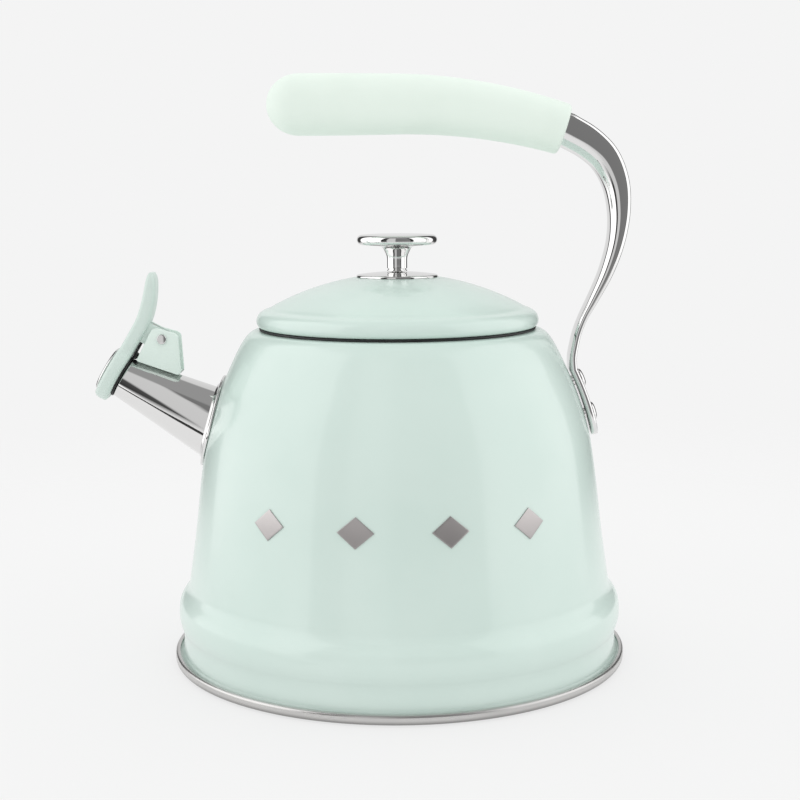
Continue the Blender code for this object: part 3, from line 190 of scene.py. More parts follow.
class Shape:
    """A mesh in the making, shaped by bmesh operators."""

    def __init__(self) -> None:
        """Start empty."""
        self.mesh = bmesh.new()

    @classmethod
    def turned(cls, profile: Sequence[Point], segments: int, closed: bool = False) -> "Shape":
        """Spin a profile about Z.

        Args:
            profile: (radius, height) points; an open profile starts and ends on the axis.
            segments: Steps of the full turn.
            closed: True if the profile's last point joins its first.

        Returns:
            The turned shape, with its normals outwards.
        """
        shape = cls()
        mesh = shape.mesh
        verts = [mesh.verts.new((radius, 0.0, height)) for radius, height in profile]
        edges = [mesh.edges.new(pair) for pair in zip(verts, verts[1:])]
        if closed:
            edges.append(mesh.edges.new((verts[-1], verts[0])))
        bmesh.ops.spin(mesh, geom=verts + edges, cent=(0.0, 0.0, 0.0), axis=(0.0, 0.0, 1.0),
                       angle=2.0 * math.pi, steps=segments, use_merge=True)
        return shape.tidied()

    @classmethod
    def ring(cls, corners: Corners, segments: int, steps: int = 4) -> "Shape":
        """Spin a closed outline of (radius, height, rounding) corners, given in millimetres."""
        return cls.turned(rounded(mm(corners), steps, closed=True), segments, closed=True)

    @classmethod
    def rod(cls, radius: float, low: float, high: float, segments: int) -> "Shape":
        """A plain cylinder about Z."""
        return cls.turned([(0.0, low), (radius, low), (radius, high), (0.0, high)], segments)

    @classmethod
    def lofted(cls, rings: Sequence[Sequence[Vector]]) -> "Shape":
        """Bridge rings of points into a closed shape with flat ends."""
        shape = cls()
        loops = []
        for ring in rings:
            made = bmesh.ops.create_circle(shape.mesh, segments=len(ring), radius=1.0,
                                           cap_ends=False)["verts"]
            for vert, place in zip(made, ring):
                vert.co = place
            loops.append(list({edge for vert in made for edge in vert.link_edges}))
        for near, far in zip(loops, loops[1:]):
            bmesh.ops.bridge_loops(shape.mesh, edges=near + far)
        for end in (loops[0], loops[-1]):
            bmesh.ops.contextual_create(shape.mesh, geom=end)
        return shape.tidied()

    @classmethod
    def plate(cls, outline: Sequence[Point], low: float, high: float) -> "Shape":
        """Extrude an outline of (x, z) points from y = low to y = high."""
        shape = cls()
        face = shape.mesh.faces.new([shape.mesh.verts.new((x, low, z)) for x, z in outline])
        side = bmesh.ops.extrude_face_region(shape.mesh, geom=[face])["geom"]
        bmesh.ops.translate(shape.mesh, vec=(0.0, high - low, 0.0),
                            verts=[item for item in side if isinstance(item, bmesh.types.BMVert)])
        return shape.tidied()

    def tidied(self) -> "Shape":
        """Merge doubles and turn the normals outwards."""
        bmesh.ops.remove_doubles(self.mesh, verts=self.mesh.verts, dist=0.002 * MM)
        bmesh.ops.recalc_face_normals(self.mesh, faces=self.mesh.faces)
        return self

    def placed(self, matrix: Matrix) -> "Shape":
        """Move the whole shape."""
        bmesh.ops.transform(self.mesh, matrix=matrix, verts=self.mesh.verts)
        return self

    def remapped(self, move: Callable[[Vector], Vector]) -> "Shape":
        """Move each point by a rule."""
        for vert in self.mesh.verts:
            vert.co = move(vert.co)
        return self.tidied()

    def softened(self, width: float, segments: int = 3, angle: float = 40.0) -> "Shape":
        """Bevel every edge that is sharper than an angle in degrees."""
        sharp = [edge for edge in self.mesh.edges
                 if len(edge.link_faces) == 2 and edge.calc_face_angle() > math.radians(angle)]
        bmesh.ops.bevel(self.mesh, geom=sharp, offset=width, offset_type="OFFSET", segments=segments,
                        profile=0.5, affect="EDGES", material=-1, clamp_overlap=True)
        return self

    def sheeted(self, thickness: float, height: float) -> "Shape":
        """Thicken an open turned skin inwards.

        Args:
            thickness: The sheet's thickness.
            height: A height at which the skin's wall stands upright.

        Returns:
            The closed shape.
        """
        upright = min(self.mesh.faces, key=lambda face: abs(face.calc_center_median().z - height))
        if upright.normal.dot(Vector((*upright.calc_center_median().xy, 0.0))) < 0.0:
            bmesh.ops.reverse_faces(self.mesh, faces=self.mesh.faces)
        bmesh.ops.solidify(self.mesh, geom=self.mesh.faces[:], thickness=thickness)
        bmesh.ops.recalc_face_normals(self.mesh, faces=self.mesh.faces)
        return self

    def joined(self, other: "Shape") -> "Shape":
        """Take another shape in as a loose part."""
        data = other.data("joined")
        self.mesh.from_mesh(data)
        bpy.data.meshes.remove(data)
        return self

    def combined(self, other: "Shape", cut: Cut) -> "Shape":
        """Add or take away another closed shape."""
        objects = [linked(name, shape.data(name)) for name, shape in (("target", self), ("tool", other))]
        modifier = objects[0].modifiers.new("cut", "BOOLEAN")
        modifier.operation, modifier.solver, modifier.object = cut.value, "EXACT", objects[1]
        evaluated = objects[0].evaluated_get(bpy.context.evaluated_depsgraph_get())
        result = Shape()
        result.mesh.from_mesh(evaluated.to_mesh())
        evaluated.to_mesh_clear()
        for item in objects:
            data = item.data
            bpy.data.objects.remove(item)
            bpy.data.meshes.remove(data)
        return result

    def data(self, name: str) -> bpy.types.Mesh:
        """Turn the shape into mesh data."""
        data = bpy.data.meshes.new(name)
        self.mesh.to_mesh(data)
        self.mesh.free()
        return data


# ================================================================= shader maths

def operator(operation: str, swapped: bool = False) -> Callable[["Signal", Any], "Signal"]:
    """Make a Python operator of one Math node; swapped is for a number on the left."""

    def apply(self: "Signal", other: Any) -> "Signal":
        """Add the Math node."""
        return self.math(operation, *((other, self) if swapped else (self, other)))

    return apply


class Signal:
    """A shader value that takes part in Python arithmetic."""

    def __init__(self, graph: "Graph", socket: bpy.types.NodeSocket) -> None:
        """Wrap an output socket."""
        self.graph, self.socket = graph, socket

    def math(self, operation: str, first: Any, second: Any) -> "Signal":
        """One Math node on two values or signals."""
        values = {0: first, 1: second}
        return self.graph.signal("ShaderNodeMath", 0, {"operation": operation}, values)

    __add__ = __radd__ = operator("ADD")
    __mul__ = __rmul__ = operator("MULTIPLY")
    __sub__ = operator("SUBTRACT")
    __rsub__ = operator("SUBTRACT", swapped=True)
    __pow__ = operator("POWER")

    def turn(self, other: "Signal") -> "Signal":
        """Angle of the vector whose second part is self and first part is other."""
        return self.math("ARCTAN2", self, other)

    def ramp(self, low: float, high: float) -> "Signal":
        """0 below low, 1 above high, and smooth between."""
        return self.graph.signal("ShaderNodeMapRange", "Result", {"interpolation_type": "SMOOTHSTEP"},
                                 {"Value": self, "From Min": low, "From Max": high})


Color = Sequence[float] | Signal


class Graph:
    """Builds the node tree of a material or of the world."""

    def __init__(self, tree: bpy.types.NodeTree) -> None:
        """Start with an empty tree."""
        tree.nodes.clear()
        self.tree = tree

    def feed(self, node: bpy.types.Node, socket: str | int, value: Any) -> None:
        """Set a socket to a value, or link a signal to it."""
        if isinstance(value, Signal):
            self.tree.links.new(value.socket, node.inputs[socket])
        else:
            node.inputs[socket].default_value = value

    def node(self, kind: str, settings: dict[str, Any] | None = None,
             values: dict[str | int, Any] | None = None) -> bpy.types.Node:
        """Add any node.

        Args:
            kind: The node's type.
            settings: Its own settings; "stops" gives a ramp's (place, colour) pairs.
            values: Values or signals of its sockets.

        Returns:
            The node.
        """
        node = self.tree.nodes.new(kind)
        for name, setting in (settings or {}).items():
            if name == "stops":
                elements = node.color_ramp.elements
                for i, (place, color) in enumerate(setting):
                    element = elements[i] if i < 2 else elements.new(place)
                    element.position, element.color = place, color
            else:
                setattr(node, name, setting)
        for name, value in (values or {}).items():
            self.feed(node, name, value)
        return node

    def signal(self, kind: str, output: str | int, settings: dict[str, Any] | None = None,
               values: dict[str | int, Any] | None = None) -> Signal:
        """Add any node and take one of its outputs."""
        return Signal(self, self.node(kind, settings, values).outputs[output])

    def place(self, scale: Sequence[float] = (1.0, 1.0, 1.0)) -> Signal:
        """The point on the piece, stretched along each axis."""
        here = self.signal("ShaderNodeTexCoord", "Object")
        return self.signal("ShaderNodeMapping", "Vector", None, {"Vector": here, "Scale": scale})

    def parts(self) -> tuple[Signal, Signal, Signal]:
        """The point's x, y and z."""
        return self.split(self.place())

    def split(self, vector: Signal) -> tuple[Signal, Signal, Signal]:
        """A vector's three parts."""
        node = self.node("ShaderNodeSeparateXYZ", None, {"Vector": vector})
        return tuple(Signal(self, output) for output in node.outputs)

    def noise(self, scale: float, detail: float = 3.0, where: Signal | None = None) -> Signal:
        """Cloudy variation between 0 and 1; scale is per metre."""
        return self.signal("ShaderNodeTexNoise", "Fac", None,
                           {"Vector": where or self.place(), "Scale": scale, "Detail": detail})

    def turned_grain(self, fineness: float, sweep: float = 2.5) -> Signal:
        """Fine lines that run round the Z axis, as a lathe or a polishing wheel leaves them."""
        x, y, z = self.parts()
        radius = (x * x + y * y) ** 0.5
        vector = self.signal("ShaderNodeCombineXYZ", "Vector", None,
                             {"X": radius * fineness, "Y": y.turn(x) * sweep, "Z": z * fineness})
        return self.noise(1.0, 4.0, vector)

    def mix(self, first: Color, second: Color, factor: Signal) -> Signal:
        """A colour between two others."""
        node = self.node("ShaderNodeMix", {"data_type": "RGBA"})
        colors = [socket for socket in node.inputs if socket.type == "RGBA"]
        for socket, value in zip(colors, (first, second)):
            if isinstance(value, Signal):
                self.tree.links.new(value.socket, socket)
            else:
                socket.default_value = (*value[:3], 1.0)
        self.feed(node, 0, factor)
        return Signal(self, next(socket for socket in node.outputs if socket.type == "RGBA"))

    def bump(self, height: Signal, distance: float, strength: float, under: Signal | None = None) -> Signal:
        """A Normal from a height, over another if given."""
        values = {"Height": height, "Distance": distance, "Strength": strength}
        return self.signal("ShaderNodeBump", "Normal", None, values | ({"Normal": under} if under else {}))

    def mixed(self, first: bpy.types.Node, second: bpy.types.Node, factor: float | Signal) -> bpy.types.Node:
        """A shader between two others."""
        node = self.node("ShaderNodeMixShader", None, {0: factor})
        for socket, shader in enumerate((first, second), 1):
            self.tree.links.new(shader.outputs[0], node.inputs[socket])
        return node

    def finish(self, shader: bpy.types.Node, kind: str = "ShaderNodeOutputMaterial") -> None:
        """Send a shader to the output."""
        self.tree.links.new(shader.outputs[0], self.node(kind).inputs["Surface"])

    def surface(self, values: dict[str, Any]) -> None:
        """Finish with a Principled shader."""
        self.finish(self.node("ShaderNodeBsdfPrincipled", None, values))


# ================================================================= finishes

def scaled(color: Sequence[float], share: float) -> tuple[float, ...]:
    """A colour made darker or lighter."""
    return tuple(part * share for part in color)


@dataclass(frozen=True)
class Finish:
    """A named surface finish."""

    name: str
    slot: str

    def material(self) -> bpy.types.Material:
        """The finish's material, made once."""
        known = bpy.data.materials.get(self.name)
        if known:
            return known
        made = bpy.data.materials.new(self.name)
        made.use_nodes = True
        self.dress(Graph(made.node_tree))
        return made

    def dress(self, graph: Graph) -> None:
        """Build the finish's nodes."""
        raise NotImplementedError


@dataclass(frozen=True)
class Enamel(Finish):
    """Glossy fired enamel: a soft cloudy tint, orange peel, and a painted shade at its foot, in the crease
    above the base's rim.
    """

    tint: tuple[float, float, float] = (0.655, 0.780, 0.725)
    deep: tuple[float, float, float] = (0.625, 0.757, 0.700)

    def dress(self, graph: Graph) -> None:
        """Build the enamel's nodes."""
        cloud = graph.noise(22.0)
        speck = graph.noise(1500.0, 1.0).ramp(0.70, 0.78)
        _, _, height = graph.parts()
        # painted shade: the enamel darkens at its foot, in the crease where the wall meets the base pan's
        # rim
        foot = 1.0 - height.ramp(0.0035, 0.0052)
        color = graph.mix(self.tint, self.deep, cloud.ramp(0.3, 0.75))
        color = graph.mix((0.32, 0.40, 0.36), color, 1.0 - foot * 0.55 - speck * 0.05)
        peel = graph.noise(240.0, 2.0)
        graph.surface({
            "Base Color": color, "Roughness": cloud * 0.06 + graph.noise(90.0) * 0.06 + 0.26,
            "Normal": graph.bump(peel, 0.00003, 0.25), "Coat Weight": 0.45, "Coat Roughness": 0.035,
            "Specular IOR Level": 0.5,
        })


@dataclass(frozen=True)
class SoftTouch(Finish):
    """Matt rubbery lacquer with a fine grain and faint handling marks."""

    tint: tuple[float, float, float] = (0.820, 0.915, 0.838)
    worn: tuple[float, float, float] = (0.785, 0.885, 0.805)
    roughness: float = 0.58
    grain: float = 0.00005

    def dress(self, graph: Graph) -> None:
        """Build the lacquer's nodes."""
        handled = graph.noise(38.0).ramp(0.38, 0.72)
        grain = graph.noise(2600.0, 2.0)
        waves = graph.noise(120.0, 2.0)
        bump = graph.bump(waves, self.grain * 2.0, 0.25, graph.bump(grain, self.grain, 0.5))
        graph.surface({
            "Base Color": graph.mix(self.tint, self.worn, handled * 0.7 + grain * 0.15),
            "Roughness": self.roughness - handled * 0.10 + grain * 0.06,
            "Normal": bump, "Sheen Weight": 0.12, "Sheen Roughness": 0.4,
        })


@dataclass(frozen=True)
class Polished(Finish):
    """Mirror-polished steel with smudges and hairline scratches."""

    tint: tuple[float, float, float] = (0.80, 0.795, 0.79)
    roughness: float = 0.02

    def dress(self, graph: Graph) -> None:
        """Build the polished steel's nodes."""
        smudge = graph.noise(45.0, 4.0).ramp(0.5, 0.85)
        hairs = graph.noise(1.0, 3.0, graph.place((160.0, 2600.0, 900.0))).ramp(0.66, 0.74)
        graph.surface({
            "Base Color": graph.mix(self.tint, (0.70, 0.69, 0.68), smudge * 0.3 + hairs * 0.1),
            "Metallic": 1.0, "Roughness": smudge * 0.05 + hairs * 0.03 + self.roughness,
            "Normal": graph.bump(graph.noise(55.0, 1.0), 0.00004, 0.2),
        })


@dataclass(frozen=True)
class Brushed(Finish):
    """Steel or aluminium with lines that run round the kettle's axis, and a painted shade next to the hob.
    """

    tint: tuple[float, float, float] = (0.62, 0.61, 0.60)
    roughness: float = 0.28
    fineness: float = 1500.0

    def dress(self, graph: Graph) -> None:
        """Build the brushed metal's nodes."""
        grain = graph.turned_grain(self.fineness)
        stain = graph.noise(30.0, 4.0).ramp(0.4, 0.8)
        _, _, height = graph.parts()
        # painted shade: the metal darkens towards the hob, for the contact shade under the kettle
        hob_contact_shade = 1.0 - height.ramp(0.0008, 0.0026)
        color = graph.mix(self.tint, scaled(self.tint, 0.82), stain * 0.4 + grain * 0.3)
        graph.surface({
            "Base Color": graph.mix(color, scaled(self.tint, 0.35), hob_contact_shade * 0.8),
            "Metallic": 1.0, "Roughness": grain * 0.16 + stain * 0.08 + self.roughness - 0.08,
            "Normal": graph.bump(grain, 0.00004, 0.3),
        })


@dataclass(frozen=True)
class BadgeSteel(Finish):
    """Satin steel brushed level, with a painted highlight towards its top edge and painted shade towards its
    lower edge.
    """

    tint: tuple[float, float, float] = (0.47, 0.445, 0.44)

    def dress(self, graph: Graph) -> None:
        """Build the badge's nodes."""
        grain = graph.noise(1.0, 4.0, graph.place((70.0, 70.0, 3200.0)))
        _, _, height = graph.parts()
        # painted light: the lozenge is darker at its lower edge and lighter at its top, as light from above
        # falls on it
        painted_top_light = height.ramp(0.067, 0.080)
        color = graph.mix(scaled(self.tint, 0.9), scaled(self.tint, 1.18), painted_top_light)
        graph.surface({"Base Color": color, "Metallic": 1.0, "Roughness": grain * 0.2 + 0.3,
                       "Normal": graph.bump(grain, 0.00003, 0.3)})


@dataclass(frozen=True)
class Silicone(Finish):
    """Matt moulded silicone with a bloom of dust."""

    tint: tuple[float, float, float] = (0.012, 0.012, 0.013)

    def dress(self, graph: Graph) -> None:
        """Build the silicone's nodes."""
        bloom = graph.noise(220.0, 4.0).ramp(0.45, 0.8)
        grain = graph.noise(3000.0, 2.0)
        graph.surface({"Base Color": graph.mix(self.tint, (0.05, 0.05, 0.048), bloom * 0.5),
                       "Roughness": grain * 0.15 + 0.45, "Normal": graph.bump(grain, 0.00003, 0.4)})


ENAMEL = Enamel("glossy_enamel", "mint_enamel")
GRIP_LACQUER = SoftTouch("grip_lacquer", "mint_soft_touch")
# The cap and the bracket ears are one plastic in two tints: painted darker for the cap and lever, painted
# lighter for the bracket ears, for how the light falls on them
CAP_LACQUER_SHADED = SoftTouch("cap_lacquer_shaded", "mint_plastic", (0.652, 0.757, 0.707), (0.622, 0.727, 0.677), 0.36,
                        0.00003)
EAR_LACQUER_LIT = SoftTouch("ear_lacquer_lit", "mint_plastic", (0.77, 0.88, 0.82), (0.74, 0.85, 0.79), 0.36, 0.00003)
POLISHED = Polished("mirror_steel", "polished_steel")
BRUSHED = Brushed("turned_steel", "brushed_steel")
LINER = Brushed("liner_steel", "mint_enamel", (0.55, 0.54, 0.53), 0.34, 900.0)
ALUMINIUM = Brushed("cast_aluminium", "aluminium", (0.74, 0.75, 0.76), 0.4, 700.0)
BADGE = BadgeSteel("satin_badge_steel", "brushed_steel")
SILICONE = Silicone("moulded_silicone", "silicone")


def linked(name: str, data: bpy.types.ID) -> bpy.types.Object:
    """A new object in the scene."""
    item = bpy.data.objects.new(name, data)
    bpy.context.scene.collection.objects.link(item)
    return item


def add_piece(name: str, shape: Shape, finish: Finish, body: Body, node: str = "",
              second: Finish | None = None, inside: Callable[[Vector, Vector], bool] | None = None,
              sharp: float = 32.0) -> bpy.types.Object:
    """Put a finished piece in the scene.

    Args:
        name: The piece's name.
        shape: Its shape, in the kettle's frame.
        finish: Its finish.
        body: The body it moves with.
        node: The frame's node that it stands for.
        second: A second finish for some of its faces.
        inside: Says from a face's centre and normal whether it takes the second finish.
        sharp: Angle in degrees past which an edge shows as sharp.

    Returns:
        The piece's object.
    """
    if inside:
        for face in shape.mesh.faces:
            face.material_index = int(inside(face.calc_center_median(), face.normal))
    data = shape.data(name)
    data.shade_smooth()
    data.set_sharp_from_angle(angle=math.radians(sharp))
    data.materials.append(finish.material())
    if second:
        data.materials.append(second.material())
    piece = linked(name, data)
    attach(piece, body.value)
    if node:
        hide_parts(node)
    LOG.info("%s: %d faces on %s", name, len(data.polygons), body.value)
    return piece


# ================================================================= kettle body

@dataclass
class Wall:
    """Outside shape of the kettle's wall, from the foot to the flat of the shoulder."""

    keys: Corners = (
        (96.2, 5.2), (96.2, 14.4), (96.9, 16.4), (97.6, 19.2), (97.6, 24.4), (97.1, 26.8), (95.8, 29.2),
        (94.1, 31.4), (93.1, 33.6), (92.6, 36.5), (91.4, 44.5), (90.1, 53.5), (89.0, 62.0), (87.9, 71.5),
        (86.8, 80.5), (85.5, 90.0), (84.0, 98.8), (82.1, 106.2), (79.9, 113.2), (77.4, 119.8), (73.5, 128.5),
        (70.0, 135.8), (67.2, 140.6), (65.0, 143.2), (62.6, 144.6), (59.8, 145.0))
    steps: int = 5
    slope_reach: float = 4.0 * MM
    bead_top: float = 36.0 * MM

    def __post_init__(self) -> None:
        """Work out the smooth outline once."""
        self.outline = curve_through(mm(self.keys), self.steps)
        self.line = np.array(self.outline)

    def radius(self, height: float) -> float:
        """Outside radius at a height."""
        return float(np.interp(height, self.line[:, 1], self.line[:, 0]))

    def place(self, height: float) -> tuple[Vector, Vector]:
        """A point of the outline and the outward direction there, in the XZ plane."""
        low, high = self.radius(height - self.slope_reach), self.radius(height + self.slope_reach)
        along = Vector((high - low, 2.0 * self.slope_reach)).normalized()
        return Vector((self.radius(height), height)), Vector((along.y, -along.x))

    def guide(self, growth: float) -> Shape:
        """A solid of the wall's outside shape above the bead, grown by a distance."""
        grown = [(radius + growth, height) for radius, height in self.outline if height > self.bead_top]
        return Shape.turned([(0.0, grown[0][1]), *grown, (0.0, grown[-1][1])], 128)


@dataclass
class KettleBody:
    """The enamelled wall with its spout hole, and the four lozenge badges on its front."""

    wall: Wall
    spout: "Spout"
    foot: Corners = ((98.3, 3.7, 0.0), (96.2, 3.7, 1.4), (96.2, 5.2, 0.0))
    neck: Corners = ((59.8, 145.0, 0.0), (55.6, 145.0, 1.8), (55.6, 138.0, 0.0))
    neck_reach: float = 59.6 * MM
    neck_top: float = 143.0 * MM
    segments: int = 160
    sheet: float = 1.0 * MM
    upright: float = 80.0 * MM
    hole: tuple[float, float, float] = (12.0 * MM, -20.0 * MM, 12.0 * MM)
    badge_turns: tuple[float, ...] = (-36.0, -11.0, 13.4, 36.3)
    badge_height: float = 73.5 * MM
    badge_size: Point = (15.0 * MM, 12.6 * MM)
    badge_sheet: float = 0.35 * MM
    badge_lift: float = 0.08 * MM

    def build(self) -> None:
        """Make the shell and the badges."""
        outline = rounded(mm(self.foot))[:-1] + self.wall.outline + rounded(mm(self.neck), 6)[1:]
        shell = Shape.turned(outline, self.segments).sheeted(self.sheet, self.upright)
        drill = Shape.rod(*self.hole, 64).placed(self.spout.root_matrix() @ AGAINST_X)
        add_piece("kettle_wall", shell.combined(drill, Cut.TAKE), ENAMEL, Body.KETTLE, "body_shell", LINER,
                  self.faces_inwards)
        for number, turn in enumerate(self.badge_turns, 1):
            badge = self.badge(math.radians(turn))
            add_piece(f"front_badge_{number}", badge, BADGE, Body.KETTLE, sharp=50.0)

    def faces_inwards(self, center: Vector, normal: Vector) -> bool:
        """True for a face of the inner wall."""
        out = Vector((center.x, center.y, 0.0))
        if center.z > self.wall.bead_top and out.length < self.neck_reach:
            return normal.dot(out) > 0.0 and center.z < self.neck_top
        inside = out.length < self.wall.radius(center.z) - 0.5 * self.sheet
        return inside and normal.dot(out) < 0.3 * out.length

    def badge(self, turn: float) -> Shape:
        """One lozenge, bent to the wall.

        Args:
            turn: Its azimuth from the front, in radians, towards the handle.

        Returns:
            The badge's shape.
        """
        shape = Shape()
        bmesh.ops.create_grid(shape.mesh, x_segments=14, y_segments=14, size=0.5,
                              matrix=Matrix.Rotation(math.radians(45.0), 4, "Z"))
        for vert in shape.mesh.verts:
            across, up = (vert.co.xy / math.sqrt(2.0)) * Vector(self.badge_size)
            height = self.badge_height + up
            radius = self.wall.radius(height) + self.badge_lift
            angle = turn + across / radius
            vert.co = (radius * math.sin(angle), -radius * math.cos(angle), height)
        bmesh.ops.recalc_face_normals(shape.mesh, faces=shape.mesh.faces)
        if shape.mesh.faces[:][0].normal.dot(Vector((math.sin(turn), -math.cos(turn), 0.0))) < 0.0:
            bmesh.ops.reverse_faces(shape.mesh, faces=shape.mesh.faces)
        bmesh.ops.solidify(shape.mesh, geom=shape.mesh.faces[:], thickness=-self.badge_sheet)
        bmesh.ops.recalc_face_normals(shape.mesh, faces=shape.mesh.faces)
        return shape.softened(0.1 * MM, 2, 60.0)


@dataclass
class Base:
    """The pan with its rolled rim and the cap over the heat spreader."""

    segments: int = 160
    pan: Corners = (
        (0.0, 5.4, 0.0), (94.9, 5.4, 0.4), (94.9, 2.4, 0.0), (98.6, 2.4, 0.0), (98.6, 4.0, 0.0),
        (97.8, 4.0, 0.0), (97.8, 4.5, 0.25), (99.8, 4.5, 1.1), (99.8, 0.3, 1.5), (94.5, 0.3, 0.6),
        (93.3, 4.6, 0.8), (0.0, 4.6, 0.0))
    cap: Corners = ((0.0, 0.6, 0.0), (79.4, 0.6, 0.0), (79.4, 4.3, 0.0), (80.0, 4.3, 0.0), (80.0, 0.0, 1.0),
                    (0.0, 0.0, 0.0))
    groove_radii: tuple[float, ...] = (71.0, 59.6, 48.2, 36.8, 25.4, 14.0)
    groove: Corners = ((0.5, 0.0), (0.2, 0.25), (-0.2, 0.25), (-0.5, 0.0))

    def build(self) -> None:
        """Make the pan and the cap, and dress the core."""
        pan = Shape.turned(rounded(mm(self.pan), 5), self.segments)
        add_piece("base_pan_turned", pan, BRUSHED, Body.KETTLE, "base_pan")
        grooves = [(radius + out, rise) for radius in self.groove_radii for out, rise in self.groove]
        cap = rounded(mm(self.cap))
        add_piece("base_cap_turned", Shape.turned(cap[:-1] + mm(grooves) + cap[-1:], self.segments), BRUSHED,
                  Body.KETTLE, "base_cap")
        core = frame["nodes"]["base_core"]
        core.data.materials.clear()
        core.data.materials.append(ALUMINIUM.material())


# ================================================================= spout and hinge

@dataclass
class Spout:
    """The polished cone, its collar on the wall, and the frames that the whistle cap needs."""

    wall: Wall
    tilt: float = math.radians(27.6)
    mouth_tilt: float = math.radians(30.5)
    root_height: float = 104.4 * MM
    length: float = 42.6 * MM
    overlap: float = 10.0 * MM
    mouth_radius: float = 9.1 * MM
    half_angle: float = math.radians(8.3)
    sheet: float = 1.0 * MM
    lip: float = 0.35 * MM
    collar_clearance: float = 0.35

    def root(self) -> Vector:
        """Where the axis meets the wall."""
        return Vector((-self.wall.radius(self.root_height), self.root_height))

    def mouth(self) -> Vector:
        """Centre of the mouth."""
        return self.root() + Vector((-math.cos(self.tilt), math.sin(self.tilt))) * self.length

    def root_matrix(self) -> Matrix:
        """Frame at the root: -X runs out along the spout."""
        return tilted(self.root(), self.tilt)

    def matrix(self) -> Matrix:
        """Frame at the mouth: +X runs back along the spout."""
        return tilted(self.mouth(), self.tilt)

    def radius(self, depth: float) -> float:
        """Outside radius of the cone at a depth behind the mouth."""
        return self.mouth_radius + depth * math.tan(self.half_angle)

    def build(self) -> None:
        """Make the cone and the collar."""
        deep, lip = self.length + self.overlap, self.lip
        profile = rounded([
            (self.radius(deep), deep, 0.0), (self.mouth_radius, 0.0, lip),
            (self.mouth_radius - self.sheet, 0.0, lip), (self.radius(deep) - self.sheet, deep, 0.0)])
        cone = Shape.turned(profile, 112, closed=True).placed(ALONG_X)
        lean = math.tan(self.mouth_tilt - self.tilt)
        cone.remapped(lambda at: Vector((at.x + (at.z * lean if at.x < 2.0 * lip else 0.0), at.y, at.z)))
        cone = cone.placed(self.matrix()).combined(self.wall.guide(0.2 * MM), Cut.TAKE)
        add_piece("spout_cone", cone, POLISHED, Body.KETTLE, "spout_tube")

        inner = self.radius(self.length) / MM + self.collar_clearance
        collar = Shape.ring([(inner, 0.25, 0.0), (20.5, 0.25, 0.2), (20.5, 1.25, 0.45),
                             (inner + 1.6, 1.25, 0.8), (inner, 2.24, 0.3)], 128)
        out = self.wall.place(self.root_height)[1]

        def bend(at: Vector) -> Vector:
            """Lay a flat point (up the wall, across it, off it) on the wall."""
            height = self.root_height + at.x * out.x
            radius, normal = self.wall.place(height)
            reach = radius.x + at.z * normal.x
            return Vector((-math.sqrt(max(reach ** 2 - at.y ** 2, 0.0)), at.y, height + at.z * normal.y))

        add_piece("spout_flange", collar.remapped(bend), POLISHED, Body.KETTLE, "spout_collar")


